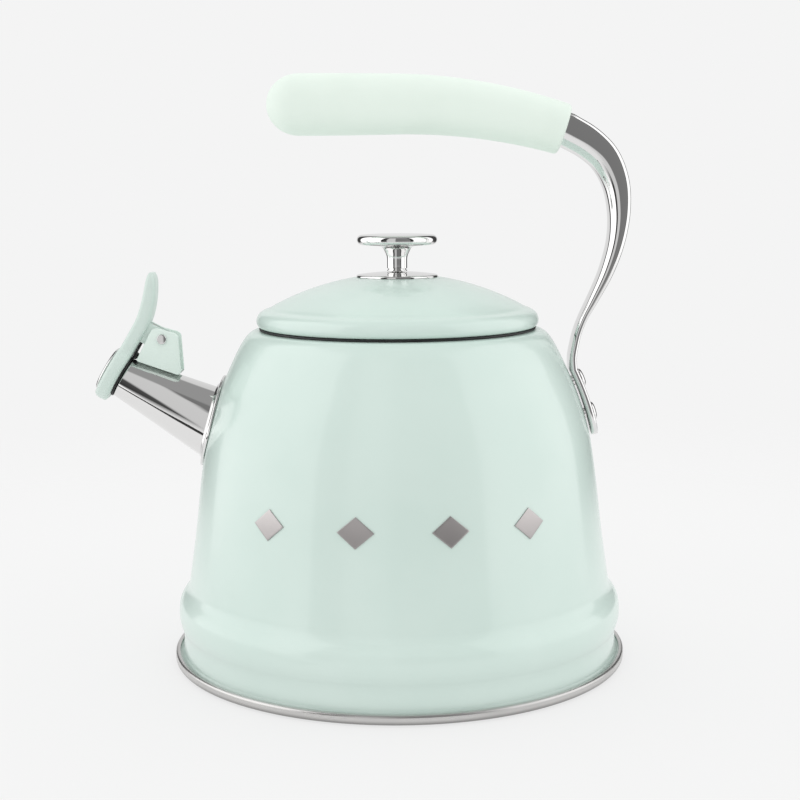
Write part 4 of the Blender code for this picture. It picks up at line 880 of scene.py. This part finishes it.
@dataclass
class CapMount:
    """The bracket on the cone, the hinge pin and the torsion spring."""

    spout: Spout
    setback: float = 7.9 * MM
    rise: float = 13.1 * MM
    pin_radius: float = 1.5 * MM
    rod: Corners = ((0.0, -6.35, 0.0), (2.2, -6.35, 0.5), (2.2, -5.45, 0.0), (1.5, -5.45, 0.0),
                    (1.5, 5.45, 0.0), (2.2, 5.45, 0.0), (2.2, 6.35, 0.5), (0.0, 6.35, 0.0))
    spacing: float = 7.8 * MM
    ear: float = 1.5 * MM
    web: float = 1.5 * MM
    lift: float = 0.25 * MM
    front: float = 5.9 * MM
    top_front: float = 2.9 * MM
    top_rear: float = 5.2 * MM
    rear: float = 14.7 * MM
    corners: tuple[float, ...] = (0.8 * MM, 1.6 * MM, 2.4 * MM, 2.6 * MM)
    cut_reach: float = 20.0 * MM
    wire: float = 0.8 * MM
    wire_clearance: float = 0.35 * MM
    pitch: float = 1.1 * MM
    turns: float = 2.5
    steps: int = 60
    lever_reach: float = 7.1 * MM

    def pin(self) -> Vector:
        """The pin in the spout's frame: depth behind the mouth and height above the axis."""
        return Vector((self.setback, self.spout.radius(self.setback) + self.rise))

    def pin_place(self) -> Vector:
        """The pin in the XZ plane, from the frame's hinge."""
        place = next(joint for joint in frame["joints"] if joint["name"] == "cap_hinge")["pos_m"]
        return Vector((place[0], place[2]))

    def build(self) -> None:
        """Make the bracket, the pin and the spring."""
        pin, reach, half = self.pin(), self.cut_reach, self.spacing / 2.0
        front, rear = pin.x - self.front, pin.x + self.rear
        places = [(front, self.spout.radius(front) + self.lift), (rear, self.spout.radius(rear) + self.lift),
                  (pin.x + self.top_rear, pin.y + self.top_rear), (front, pin.y + self.top_front)]
        outline = rounded([(*place, radius) for place, radius in zip(places, self.corners)], 8, closed=True)
        block = Shape.plate(outline, -half - self.ear, half + self.ear)
        ends = (front - reach, rear + reach)
        floor = [(depth, self.spout.radius(depth) + self.lift + self.web) for depth in ends]
        slot = Shape.plate([*floor, (ends[1], pin.y + reach), (ends[0], pin.y + reach)], -half, half)
        bracket = block.combined(slot, Cut.TAKE).softened(0.45 * MM, 4, 50.0).placed(self.spout.matrix())
        add_piece("bracket_ears", bracket, EAR_LACQUER_LIT, Body.KETTLE, "cap_bracket")
        hinge = self.spout.matrix() @ Matrix.Translation((pin.x, 0.0, pin.y))
        rod = Shape.turned(rounded(mm(self.rod), 5), 48).placed(hinge @ ALONG_Y)
        add_piece("cap_hinge_pin", rod, POLISHED, Body.KETTLE, "hinge_pin")
        self.build_spring(hinge)

    def build_spring(self, hinge: Matrix) -> None:
        """Make the coil with its fixed leg, and the leg that bears on the lever."""
        radius = self.pin_radius + self.wire_clearance + self.wire / 2.0
        width = self.pitch * self.turns
        coil = Shape()
        bmesh.ops.create_circle(coil.mesh, segments=12, radius=self.wire / 2.0, cap_ends=False)
        coil.placed(Matrix.Translation((0.0, -width / 2.0, -radius)) @ ALONG_X)
        bmesh.ops.spin(coil.mesh, geom=coil.mesh.verts[:] + coil.mesh.edges[:], cent=(0.0, 0.0, 0.0),
                       axis=(0.0, 1.0, 0.0), dvec=(0.0, width / self.steps, 0.0), steps=self.steps,
                       angle=2.0 * math.pi * self.turns, use_merge=False)
        bmesh.ops.holes_fill(coil.mesh, edges=coil.mesh.edges, sides=0)
        web = (self.spout.radius(self.pin().x + 3.0 * radius) + self.lift + self.web + self.wire / 2.0
               - self.pin().y)
        coil.tidied().joined(self.leg((-radius * 0.1, -radius), (3.0 * radius, web), -width / 2.0))
        add_piece("spring_coil", coil.placed(hinge), BRUSHED, Body.KETTLE, "hinge_spring")
        moving = self.leg((-radius * 0.1, radius), (-self.lever_reach, radius + 1.0 * MM), width / 2.0)
        add_piece("spring_leg", moving.placed(hinge), BRUSHED, Body.CAP, "hinge_spring")

    def leg(self, start: Point, end: Point, side: float) -> Shape:
        """A straight leg of wire from one (x, z) to another, at y = side."""
        section = oval_section(self.wire, self.wire, 2.0, 12)
        way = (end[0] - start[0], end[1] - start[1])
        rings = [stand(section, place, way) for place in (start, end)]
        return Shape.lofted(rings).placed(Matrix.Translation((0.0, side, 0.0)))


# ================================================================= whistle cap

@dataclass
class WhistleCap:
    """The cap and its thumb lever, the whistle's two discs and the gasket."""

    spout: Spout
    mount: CapMount
    disc_radius: float = 13.2 * MM
    disc_sheet: float = 6.0 * MM
    width: float = 12.5 * MM
    edge: float = 1.9 * MM
    rise: float = 22.8 * MM
    tip: float = 3.4 * MM
    sweep: float = 7.3 * MM
    sweep_power: float = 1.68
    thinning_power: float = 2.5
    tip_round: float = 0.14
    disc_angles: tuple[float, ...] = (-88.0, -85.0, -80.0, -74.0)
    tip_shares: tuple[float, ...] = (0.9, 0.935, 0.96, 0.978, 0.99, 0.997)
    bore: float = 7.6 * MM
    gasket_sheet: float = 0.7 * MM
    gap: float = 0.3 * MM
    cheek: Corners = ((-3.6, -6.0, 1.5), (4.0, -4.0, 3.8), (4.0, 4.0, 3.8))
    cheek_bite: float = 2.4
    cheek_sheet: float = 1.5 * MM
    dome: Corners = ((1.95, 1.98), (5.05, 1.86), (8.08, 1.52), (9.595, 1.14), (10.1, 0.62), (10.0, 0.36))
    skirt: Corners = ((9.7, 0.2), (7.3, 0.2), (7.3, -4.0), (6.7, -4.0), (6.7, 0.7), (4.545, 1.28))
    blow_hole: Corners = ((1.6, 1.4), (1.6, 1.7), (1.7, 1.9))
    reed: Corners = ((1.6, -3.0, 0.1), (6.6, -3.0, 0.1), (6.6, -2.4, 0.1), (1.6, -2.4, 0.1))
    gasket: Corners = ((7.2, 0.0, 0.2), (9.6, 0.0, 0.3), (9.6, 0.9, 0.2), (7.2, 0.9, 0.2))
    tab_half: float = 2.0 * MM

    def build(self) -> None:
        """Make the four pieces on the hinge's frame."""
        matrix = tilted(self.mount.pin_place(), self.spout.mouth_tilt)
        seen = matrix.inverted() @ Vector((self.spout.mouth().x, 0.0, self.spout.mouth().y))
        back = seen.x - 2.0 * self.gap - self.gasket_sheet
        front = back - self.disc_sheet
        plug = Matrix.Translation((front, 0.0, seen.z)) @ AGAINST_X
        bore = Shape.rod(self.bore, -9.0 * MM, 3.0 * MM, 64).placed(plug)
        lever = self.lever(seen.z, (back + front) / 2.0).combined(bore, Cut.TAKE)
        for side in (1.0, -1.0):
            lever.joined(self.build_cheek(back / MM, side))
        add_piece("cap_and_lever", lever.placed(matrix), CAP_LACQUER_SHADED, Body.CAP, "cap_lever", sharp=40.0)

        front_disc = mm(self.blow_hole) + curve_through(mm(self.dome), 6) + mm(self.skirt)
        face = Shape.turned(front_disc, 96, closed=True).placed(matrix @ plug)
        add_piece("whistle_face", face, POLISHED, Body.CAP, "whistle_front_disc", sharp=50.0)
        reed = Shape.ring(self.reed, 64, 2).placed(matrix @ plug)
        add_piece("whistle_reed_disc", reed, POLISHED, Body.CAP, "whistle_back_disc")
        add_piece("mouth_gasket", self.build_gasket(seen).placed(matrix), SILICONE, Body.CAP, "cap_gasket")

    def lever(self, middle: float, center: float) -> Shape:
        """The cap's disc and the lever above it, lofted upwards.

        Args:
            middle: Height of the disc's centre in the hinge's frame.
            center: X of the disc's middle plane.

        Returns:
            The shape, in the hinge's frame.
        """
        rings = []
        neck = math.sqrt(self.disc_radius ** 2 - (self.width / 2.0) ** 2)
        top_angle = math.degrees(math.asin(neck / self.disc_radius))
        for angle in np.radians([*self.disc_angles, *np.linspace(-67.0, top_angle - 4.0, 22)]):
            height = self.disc_radius * math.sin(angle)
            full = math.sqrt(min(1.0, (height + self.disc_radius) / (2.2 * MM)))
            rings.append((middle + height, 2.0 * self.disc_radius * math.cos(angle),
                          self.disc_sheet * (0.45 + 0.55 * full), 0.0))
        base, straight = middle + neck + 1.2 * MM, 1.0 - self.tip_round
        for share in [*np.linspace(0.0, straight, 22), *self.tip_shares]:
            height = base + (self.rise - base) * share
            bend = max(0.0, height) / self.rise
            thickness = self.disc_sheet + (self.tip - self.disc_sheet) * bend ** self.thinning_power
            close = math.sqrt(max(0.0, 1.0 - (max(0.0, share - straight) / self.tip_round) ** 2))
            rings.append((height, self.width * (0.45 + 0.55 * close), thickness * (0.35 + 0.65 * close),
                          self.sweep * bend ** self.sweep_power))
        path = [(center - sweep, height) for height, _, _, sweep in rings]
        sections = []
        for (_, width, thickness, _), place, way in zip(rings, path, headings(path)):
            radius = min(self.edge, ROUND_SHARE * thickness, ROUND_SHARE * width)
            sections.append(stand(bar_section(width, thickness, radius, radius), place, way))
        return Shape.lofted(sections)

    def build_cheek(self, back: float, side: float) -> Shape:
        """One hinge cheek behind the lever, with its bore; back is in millimetres."""
        front = back - self.cheek_bite
        outline = rounded(mm([(front, -6.0, 0.0), *self.cheek, (front, 3.2, 0.0)]), 8, closed=True)
        outer = side * (self.mount.spacing / 2.0 - self.gap)
        low, high = sorted((outer, outer - side * self.cheek_sheet))
        drill = Shape.rod(self.mount.pin_radius + 0.2 * MM, -8.0 * MM, 8.0 * MM, 40).placed(ALONG_Y)
        return Shape.plate(outline, low, high).combined(drill, Cut.TAKE).softened(0.25 * MM, 3, 50.0)

    def build_gasket(self, seen: Vector) -> Shape:
        """The gasket ring with its tongue and tab; seen is the mouth's centre in the hinge's frame."""
        back = seen.x - self.gap
        ring = Shape.ring(self.gasket, 80).placed(Matrix.Translation((back, 0.0, seen.z)) @ AGAINST_X)
        back /= MM
        front, behind = back - self.gasket_sheet / MM, seen.x / MM + 1.0
        low = (seen.z + self.spout.mouth_radius) / MM + 0.5
        corners = [(front, low - 1.2, 0.0), (back, low - 1.2, 0.0), (back, low, 0.0), (behind, low, 0.7),
                   (behind, low + 2.6, 0.9), (back, low + 2.6, 0.4), (back, -6.3, 0.0), (front, -6.3, 0.0)]
        tab = rounded(mm(corners), 5, closed=True)
        return ring.joined(Shape.plate(tab, -self.tab_half, self.tab_half).softened(0.2 * MM, 2, 60.0))


# ================================================================= handle

@dataclass
class Handle:
    """The polished arm, its two rivets and the soft-touch grip."""

    wall: Wall
    shoulder: float = 145.0 * MM
    standoff: float = 0.6 * MM
    strap: float = 3.0 * MM
    strap_width: float = 22.0 * MM
    strap_neck: float = 17.0 * MM
    strap_end: float = 9.0 * MM
    bottom_drop: float = 47.6 * MM
    top_drop: float = 19.0 * MM
    rise: float = 103.2 * MM
    reach: float = 19.3 * MM
    edge: float = 2.4 * MM
    inner: float = 0.52
    end_angle: float = math.radians(17.6)
    bend: float = 240.0 * MM
    grip_length: float = 129.0 * MM
    grip_height: Point = (22.0 * MM, 26.4 * MM)
    grip_width: Point = (22.0 * MM, 25.0 * MM)
    grip_round: float = 1.6 * MM
    nose: float = 14.0 * MM
    nose_angles: tuple[float, ...] = (84.0, 87.0, 89.2)
    rivet_drops: tuple[tuple[str, float], ...] = (("handle_rivet_upper", 23.7 * MM),
                                                  ("handle_rivet_lower", 38.2 * MM))
    rivet: Corners = ((0.0, -2.8), (2.15, -2.75), (3.44, -2.45), (4.171, -1.9), (4.3, -1.6), (2.4, -1.6),
                      (2.4, 3.65))
    rivet_head: Corners = ((4.214, 3.7), (4.3, 3.95), (3.999, 4.6), (3.096, 5.15), (1.72, 5.43), (0.0, 5.55))
    arm: tuple[tuple[float, float, float, float], ...] = (
        (0.051, -0.008, 2.9, 15.2), (0.100, 0.034, 2.9, 14.0), (0.148, 0.091, 2.9, 13.4),
        (0.216, 0.226, 3.1, 13.4), (0.285, 0.418, 3.9, 14.0), (0.422, 0.761, 5.7, 15.2),
        (0.549, 0.953, 7.1, 16.0), (0.670, 1.000, 9.0, 16.7), (0.788, 0.901, 11.1, 17.2),
        (0.891, 0.610, 13.0, 17.5), (0.945, 0.283, 13.9, 17.7), (1.000, -0.231, 14.6, 18.0))

    def on_wall(self, drop: float) -> Vector:
        """The strap's middle plane off the wall, at a drop below the shoulder."""
        point, out = self.wall.place(self.shoulder - drop)
        return point + out * (self.standoff + self.strap / 2.0)

    def grip_place(self, distance: float) -> tuple[Vector, Vector]:
        """A point and heading on the grip's centreline, from its arm end."""
        leave = self.on_wall(self.top_drop)
        end = Vector((leave.x + self.reach * self.arm[-1][1], leave.y + self.rise))
        center = end - Vector((math.sin(self.end_angle), math.cos(self.end_angle))) * self.bend
        angle = max(0.0, self.end_angle - distance / self.bend)
        straight = max(0.0, distance - self.end_angle * self.bend)
        point = center + Vector((math.sin(angle), math.cos(angle))) * self.bend
        return point + Vector((-straight, 0.0)), Vector((-math.cos(angle), math.sin(angle)))

    def stations(self) -> list[tuple[float, ...]]:
        """(x, z, thickness, width) along the strap and the arm."""
        total = self.bottom_drop - self.top_drop
        made = []
        rounding = np.linspace(0.0, 1.0, 6) ** 1.6 * self.strap_end
        for distance in [*rounding, *np.linspace(10.5 * MM, total, 9)]:
            place = self.on_wall(self.bottom_drop - distance)
            share = min(1.0, distance / self.strap_end)
            width = self.strap_width * (0.3 + 0.7 * math.sqrt(1.0 - (1.0 - share) ** 2))
            width -= (self.strap_width - self.strap_neck) * max(0.0, distance / total - 0.45) / 0.55
            made.append((place.x, place.y, self.strap * min(1.0, 0.75 + distance / (2.0 * MM)), width))
        leave = self.on_wall(self.top_drop)
        keys = [made[-1]]
        for rise, reach, thick, wide in self.arm:
            keys.append((leave.x + self.reach * reach, leave.y + self.rise * rise, thick * MM, wide * MM))
        return made[:-1] + curve_through(keys, 6)

    def section(self, thickness: float, width: float) -> list[Point]:
        """The arm's section, whose inner edges are rounded more than its outer ones."""
        small = min(self.edge, ROUND_SHARE * thickness)
        large = min(max(self.inner * thickness, small), 0.54 * thickness, 0.45 * width)
        return bar_section(width, thickness, large, small, 8)

    def build(self) -> None:
        """Make the arm, the rivets and the grip."""
        stations = self.stations()
        ways = headings([station[:2] for station in stations])
        rings = [stand(self.section(*size), (x, z), way) for (x, z, *size), way in zip(stations, ways)]
        for distance in (2.0, 4.0, 6.0):
            rings.append(stand(self.section(*stations[-1][2:]), *self.grip_place(distance * MM)))
        add_piece("handle_arm", Shape.lofted(rings), POLISHED, Body.KETTLE, "handle_stem", sharp=50.0)
        self.build_grip()
        for name, drop in self.rivet_drops:
            point, out = self.wall.place(self.shoulder - drop)
            rivet = Shape.turned(mm(self.rivet) + curve_through(mm(self.rivet_head), 5), 64)
            rivet.placed(tilted(point, -math.atan2(out.y, out.x)) @ ALONG_X)
            add_piece(f"{name}_head", rivet, POLISHED, Body.KETTLE, name, sharp=50.0)

    def build_grip(self) -> None:
        """Make the grip: flat end with a small round, long back, rounded nose."""
        body, end = self.grip_length - self.nose, self.grip_round
        stations = [(0.0, 0.55), (0.0, 0.80)]
        for angle in np.radians(np.linspace(0.0, 90.0, 7)):
            stations.append((end * (1.0 - math.cos(angle)),
                             1.0 - 2.0 * end / self.grip_height[0] * (1.0 - math.sin(angle))))
        stations += [(end + (body - end) * share, 1.0) for share in np.linspace(0.03, 1.0, 30)]
        for angle in np.radians([*np.linspace(8.0, 80.0, 12), *self.nose_angles]):
            stations.append((body + self.nose * math.sin(angle), math.cos(angle)))
        rings = []
        for distance, scale in stations:
            share = min(1.0, distance / body)
            height = np.interp(math.sin(share * math.pi / 2.0), (0.0, 1.0), self.grip_height)
            width = np.interp(share, (0.0, 1.0), self.grip_width)
            rings.append(stand(oval_section(width * scale, height * scale), *self.grip_place(distance)))
        add_piece("soft_grip", Shape.lofted(rings), GRIP_LACQUER, Body.KETTLE, "handle_grip", sharp=60.0)


# ================================================================= lid

@dataclass
class Lid:
    """The domed lid, the ring and seal under it, and the knob with its plate, washer and screw."""

    segments: int = 144
    sheet: float = 0.8
    dome: float = 115.0
    crown: float = 168.8
    screw_radius: float = 2.0
    inside_reach: float = 58.6 * MM
    inside_foot: float = 145.8 * MM
    foot_edge: Point = (57.2, 146.1)
    rim: Corners = ((58.9, 146.1), (60.3, 146.4), (61.1, 147.3), (61.5, 148.7), (61.3, 150.1), (60.4, 151.9),
                    (58.6, 153.2), (56.4, 154.0))
    dome_edge: float = 53.9
    upright: float = 149.3 * MM
    flange: float = 47.2
    skirt: float = 53.2
    ring: Corners = ((53.2, 139.3, 0.3), (54.4, 138.9, 0.3), (54.4, 138.2, 0.3), (52.4, 138.2, 0.3))
    seal_inner: float = 53.5
    ribs: tuple[float, ...] = (140.0, 141.0, 142.0)
    rib: Corners = ((54.2, -0.4), (55.1, 0.0), (54.2, 0.4))
    lip: Corners = ((58.0, 145.1, 0.1), (60.3, 145.1, 0.3), (60.3, 146.0, 0.3), (58.0, 146.0, 0.1))
    plate: float = 17.75
    hole: float = 2.35
    knob: float = 17.5
    knob_top: float = 186.0
    rim_round: float = 2.16
    shank: Corners = ((2.35, 170.0, 0.0), (4.4, 170.0, 0.2), (4.4, 170.5, 0.1), (3.95, 170.6, 0.1),
                      (3.95, 171.1, 0.1), (4.4, 171.2, 0.1), (4.4, 175.2, 0.0))
    flare: Corners = ((4.4, 175.2), (4.55, 176.2), (5.3, 178.1), (6.7, 180.3), (9.0, 180.9))
    washer: Corners = ((2.35, 166.6, 0.1), (6.5, 166.6, 0.25), (6.5, 167.4, 0.1), (2.35, 167.4, 0.1))
    screw: Corners = ((0.0, 164.1, 0.0), (3.6, 164.1, 1.1), (3.6, 166.3, 0.2), (2.0, 166.3, 0.0),
                      (2.0, 177.0, 0.5), (0.0, 177.0, 0.0))
    recess: Corners = ((0.7, 3.6, 2.2, 1.0), (3.6, 0.7, 2.2, 1.0))

    def height(self, radius: float) -> float:
        """Height of the dome at a radius, both in millimetres."""
        return self.crown - self.dome + math.sqrt(self.dome ** 2 - radius ** 2)

    def under(self, radius: float) -> float:
        """Height under the lid's sheet that clears it, in millimetres."""
        return self.height(radius) - self.sheet * 1.15 - 0.3

    def build(self) -> None:
        """Make every piece of the lid."""
        rim = curve_through(mm(self.rim), 4)
        radii = np.linspace(self.dome_edge, self.screw_radius, 40)
        dome = mm([(radius, self.height(radius)) for radius in radii])
        join = curve_through([rim[-2], rim[-1], dome[0], dome[1]], 4)
        outline = [*mm([self.foot_edge]), *rim[:-2], *join, *dome[2:]]
        shell = Shape.turned(outline, self.segments).sheeted(self.sheet * MM, self.upright)
        add_piece("lid_dome", shell, ENAMEL, Body.LID, "lid_shell", LINER, self.faces_down)
        self.build_ring()
        self.build_knob()
        self.build_fastener()

    def faces_down(self, center: Vector, normal: Vector) -> bool:
        """True for a face of the lid's inside."""
        return normal.z < -0.3 and center.xy.length < self.inside_reach and center.z > self.inside_foot

    def build_ring(self) -> None:
        """Make the steel neck ring, and the seal with its ribs and lip."""
        flange, skirt, inner = self.flange, self.skirt, self.skirt - self.sheet
        ring = [(flange, self.under(flange), 0.0), (skirt, self.under(skirt), 1.2), *self.ring,
                (inner, self.under(skirt) - self.sheet, 0.6), (flange, self.under(flange) - self.sheet, 0.0)]
        add_piece("lid_ring_turned", Shape.ring(ring, self.segments), BRUSHED, Body.LID, "lid_neck_ring")
        seal = [(self.seal_inner, self.ribs[0] - 0.5)]
        seal += [(radius, middle + rise) for middle in self.ribs for radius, rise in self.rib]
        seal.append((self.seal_inner, self.ribs[-1] + 0.5))
        rubber = Shape.turned(mm(seal), self.segments, closed=True)
        rubber.joined(Shape.ring(self.lip, self.segments, 3))
        add_piece("lid_seal_ribbed", rubber, SILICONE, Body.LID, "lid_seal")

    def build_knob(self) -> None:
        """Make the dished plate and the mushroom knob."""
        plate, top = self.plate, self.knob_top
        upper = [(radius, self.height(radius) + 0.95) for radius in np.linspace(plate - 0.5, self.hole, 10)]
        lower = [(radius, self.height(radius) + 0.15) for radius in np.linspace(self.hole, plate, 10)]
        edge = [(plate + 0.02, self.height(plate) + 0.45), (plate - 0.12, self.height(plate) + 0.78)]
        add_piece("knob_plate", Shape.turned(mm(lower + edge + upper), 96, closed=True), POLISHED, Body.LID,
                  "knob_base", sharp=60.0)
        half = self.rim_round
        rim = mm([(self.knob - half + half * math.cos(angle), top - 0.3 - half + half * math.sin(angle))
                  for angle in np.radians(np.linspace(-80.0, 78.0, 16))])
        crown = curve_through([rim[-1], *mm([(12.6, top - 0.12), (7.0, top - 0.02), (0.0, top)])], 6)
        profile = [*mm([(0.0, 178.0), (self.hole, 177.0)]), *rounded(mm(self.shank), 3),
                   *curve_through(mm(self.flare), 5)[1:], *rim, *crown[1:]]
        add_piece("mushroom_knob", Shape.turned(profile, 112), POLISHED, Body.LID, "knob", sharp=45.0)

    def build_fastener(self) -> None:
        """Make the washer and the cross-head screw under the crown."""
        add_piece("knob_washer_turned", Shape.ring(self.washer, 64, 3), BRUSHED, Body.LID, "knob_washer")
        screw = Shape.turned(rounded(mm(self.screw), 5), 48)
        for size in self.recess:
            recess = Shape()
            bmesh.ops.create_cube(recess.mesh, size=1.0 * MM, matrix=Matrix.Diagonal(size))
            recess.placed(Matrix.Translation((0.0, 0.0, self.screw[0][1] * MM)))
            screw = screw.combined(recess, Cut.TAKE)
        add_piece("knob_screw_head", screw, BRUSHED, Body.LID, "knob_screw")


# ================================================================= studio

def grey(tone: float) -> tuple[float, ...]:
    """An even grey."""
    return (tone, tone, tone, 1.0)


@dataclass
class Studio:
    """The pale floor, the soft light all round and the camera."""

    camera_place: tuple[float, float, float] = (0.000876, -0.650804, 0.207734)
    look_down: float = 0.14436
    roll: float = -0.0060634
    lens: float = 67.093
    paper: float = 0.905
    floor_radius: float = 0.75
    floor_glow: float = 0.78
    fade_from: float = 0.35
    card_place: tuple[float, ...] = (-0.26, -0.169, 0.5 * MM)
    card_size: tuple[float, ...] = (0.32, 0.042, 1.0, 1.0)
    around: tuple[tuple[float, float], ...] = (
        (0.000, 0.80), (0.050, 0.75), (0.069, 0.06), (0.150, 0.06), (0.160, 1.35), (0.361, 1.35),
        (0.369, 0.03), (0.388, 0.03), (0.396, 0.24), (0.508, 0.21), (0.517, 0.72), (0.577, 0.70),
        (0.586, 0.08), (0.628, 0.03), (0.636, 1.60), (0.850, 1.50), (0.860, 0.06), (0.925, 0.06),
        (0.940, 0.75), (1.000, 0.80))
    zenith: float = 0.35
    gain: float = 2.0
    side_light: float = 1.25
    front_light: float = 0.84

    def build(self) -> None:
        """Make the floor, the light and the camera."""
        self.build_floor()
        self.build_world()
        self.build_camera()
        bpy.context.scene.view_settings.view_transform = "Standard"

    def build_floor(self) -> None:
        """A disc of pale paper that fades out at its edge, and a dark card that only the steel sees."""
        graph, paper = self.new_material("floor_paper")
        x, y, _ = graph.parts()
        reach = (x * x + y * y) ** 0.5
        tone = graph.noise(6.0).ramp(0.2, 0.8)
        color = graph.mix(grey(0.86), grey(0.84), tone)
        matt = graph.node("ShaderNodeBsdfDiffuse", None, {"Color": color})
        glow = graph.node("ShaderNodeEmission", None, {"Color": grey(self.paper), "Strength": 1.0})
        paper_look = graph.mixed(matt, glow, self.floor_glow)
        gone = reach.ramp(self.fade_from * self.floor_radius, self.floor_radius)
        graph.finish(graph.mixed(paper_look, graph.node("ShaderNodeBsdfTransparent"), gone))
        floor = Shape()
        bmesh.ops.create_circle(floor.mesh, segments=96, radius=self.floor_radius, cap_ends=True)
        self.add_stage("floor", floor.placed(Matrix.Translation((0.0, 0.0, -0.2 * MM))), paper)

        graph, card = self.new_material("dark_card")
        graph.surface({"Base Color": graph.mix(grey(0.01), grey(0.02), graph.noise(20.0)), "Roughness": 0.9})
        strip = Shape()
        bmesh.ops.create_grid(strip.mesh, x_segments=1, y_segments=1, size=0.5)
        strip.placed(Matrix.Translation(self.card_place) @ Matrix.Diagonal(self.card_size))
        item = self.add_stage("dark_card", strip, card)
        item.visible_camera = item.visible_shadow = item.visible_diffuse = False

    def new_material(self, name: str) -> tuple[Graph, bpy.types.Material]:
        """An empty material and its graph."""
        made = bpy.data.materials.new(name)
        made.use_nodes = True
        return Graph(made.node_tree), made

    def add_stage(self, name: str, shape: Shape, material: bpy.types.Material) -> bpy.types.Object:
        """Put a thing that isn't part of the kettle in the scene."""
        data = shape.data(name)
        data.materials.append(material)
        item = linked(name, data)
        return item

    def build_world(self) -> None:
        """Soft panels round the kettle, with a grey front and narrow dark gaps between them."""
        world = bpy.data.worlds.new("studio")
        bpy.context.scene.world = world
        world.use_nodes = True
        graph = Graph(world.node_tree)
        x, y, z = graph.split(graph.signal("ShaderNodeTexCoord", "Generated"))
        turn = (x * -1.0).turn(y * -1.0) * (0.5 / math.pi) + 0.5
        stops = [(place, grey(tone / self.gain)) for place, tone in self.around]
        ring = graph.signal("ShaderNodeValToRGB", "Color", {"stops": stops}, {"Fac": turn})
        panels = graph.mix(grey(self.zenith / self.gain), ring, 1.0 - z.ramp(0.80, 0.88))
        front = (y * -1.0).ramp(-0.2, 1.3)
        soft = graph.mix(grey(self.side_light / self.gain), grey(self.front_light / self.gain), front)
        color = graph.mix(soft, panels, graph.signal("ShaderNodeLightPath", "Is Glossy Ray"))
        light = graph.node("ShaderNodeBackground", None, {"Color": color, "Strength": self.gain})
        plain = graph.node("ShaderNodeBackground", None, {"Color": grey(self.paper), "Strength": 1.0})
        seen = graph.signal("ShaderNodeLightPath", "Is Camera Ray")
        graph.finish(graph.mixed(light, plain, seen), "ShaderNodeOutputWorld")

    def build_camera(self) -> None:
        """The camera in front, a little above the kettle."""
        data = bpy.data.cameras.new("camera")
        data.sensor_width, data.lens = 36.0, self.lens
        data.clip_start, data.clip_end = 0.01, 20.0
        camera = linked("camera", data)
        camera.matrix_world = (Matrix.Translation(self.camera_place)
                               @ Matrix.Rotation(math.radians(90.0) - self.look_down, 4, "X")
                               @ Matrix.Rotation(self.roll, 4, "Z"))
        bpy.context.scene.camera = camera


def main() -> None:
    """Build the kettle, dress it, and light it."""
    logging.basicConfig(level=logging.INFO, format="%(name)s: %(message)s")
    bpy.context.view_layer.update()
    wall = Wall()
    spout = Spout(wall)
    KettleBody(wall, spout).build()
    Base().build()
    spout.build()
    mount = CapMount(spout)
    mount.build()
    WhistleCap(spout, mount).build()
    Handle(wall).build()
    Lid().build()
    Studio().build()


if __name__ == "__main__":
    main()
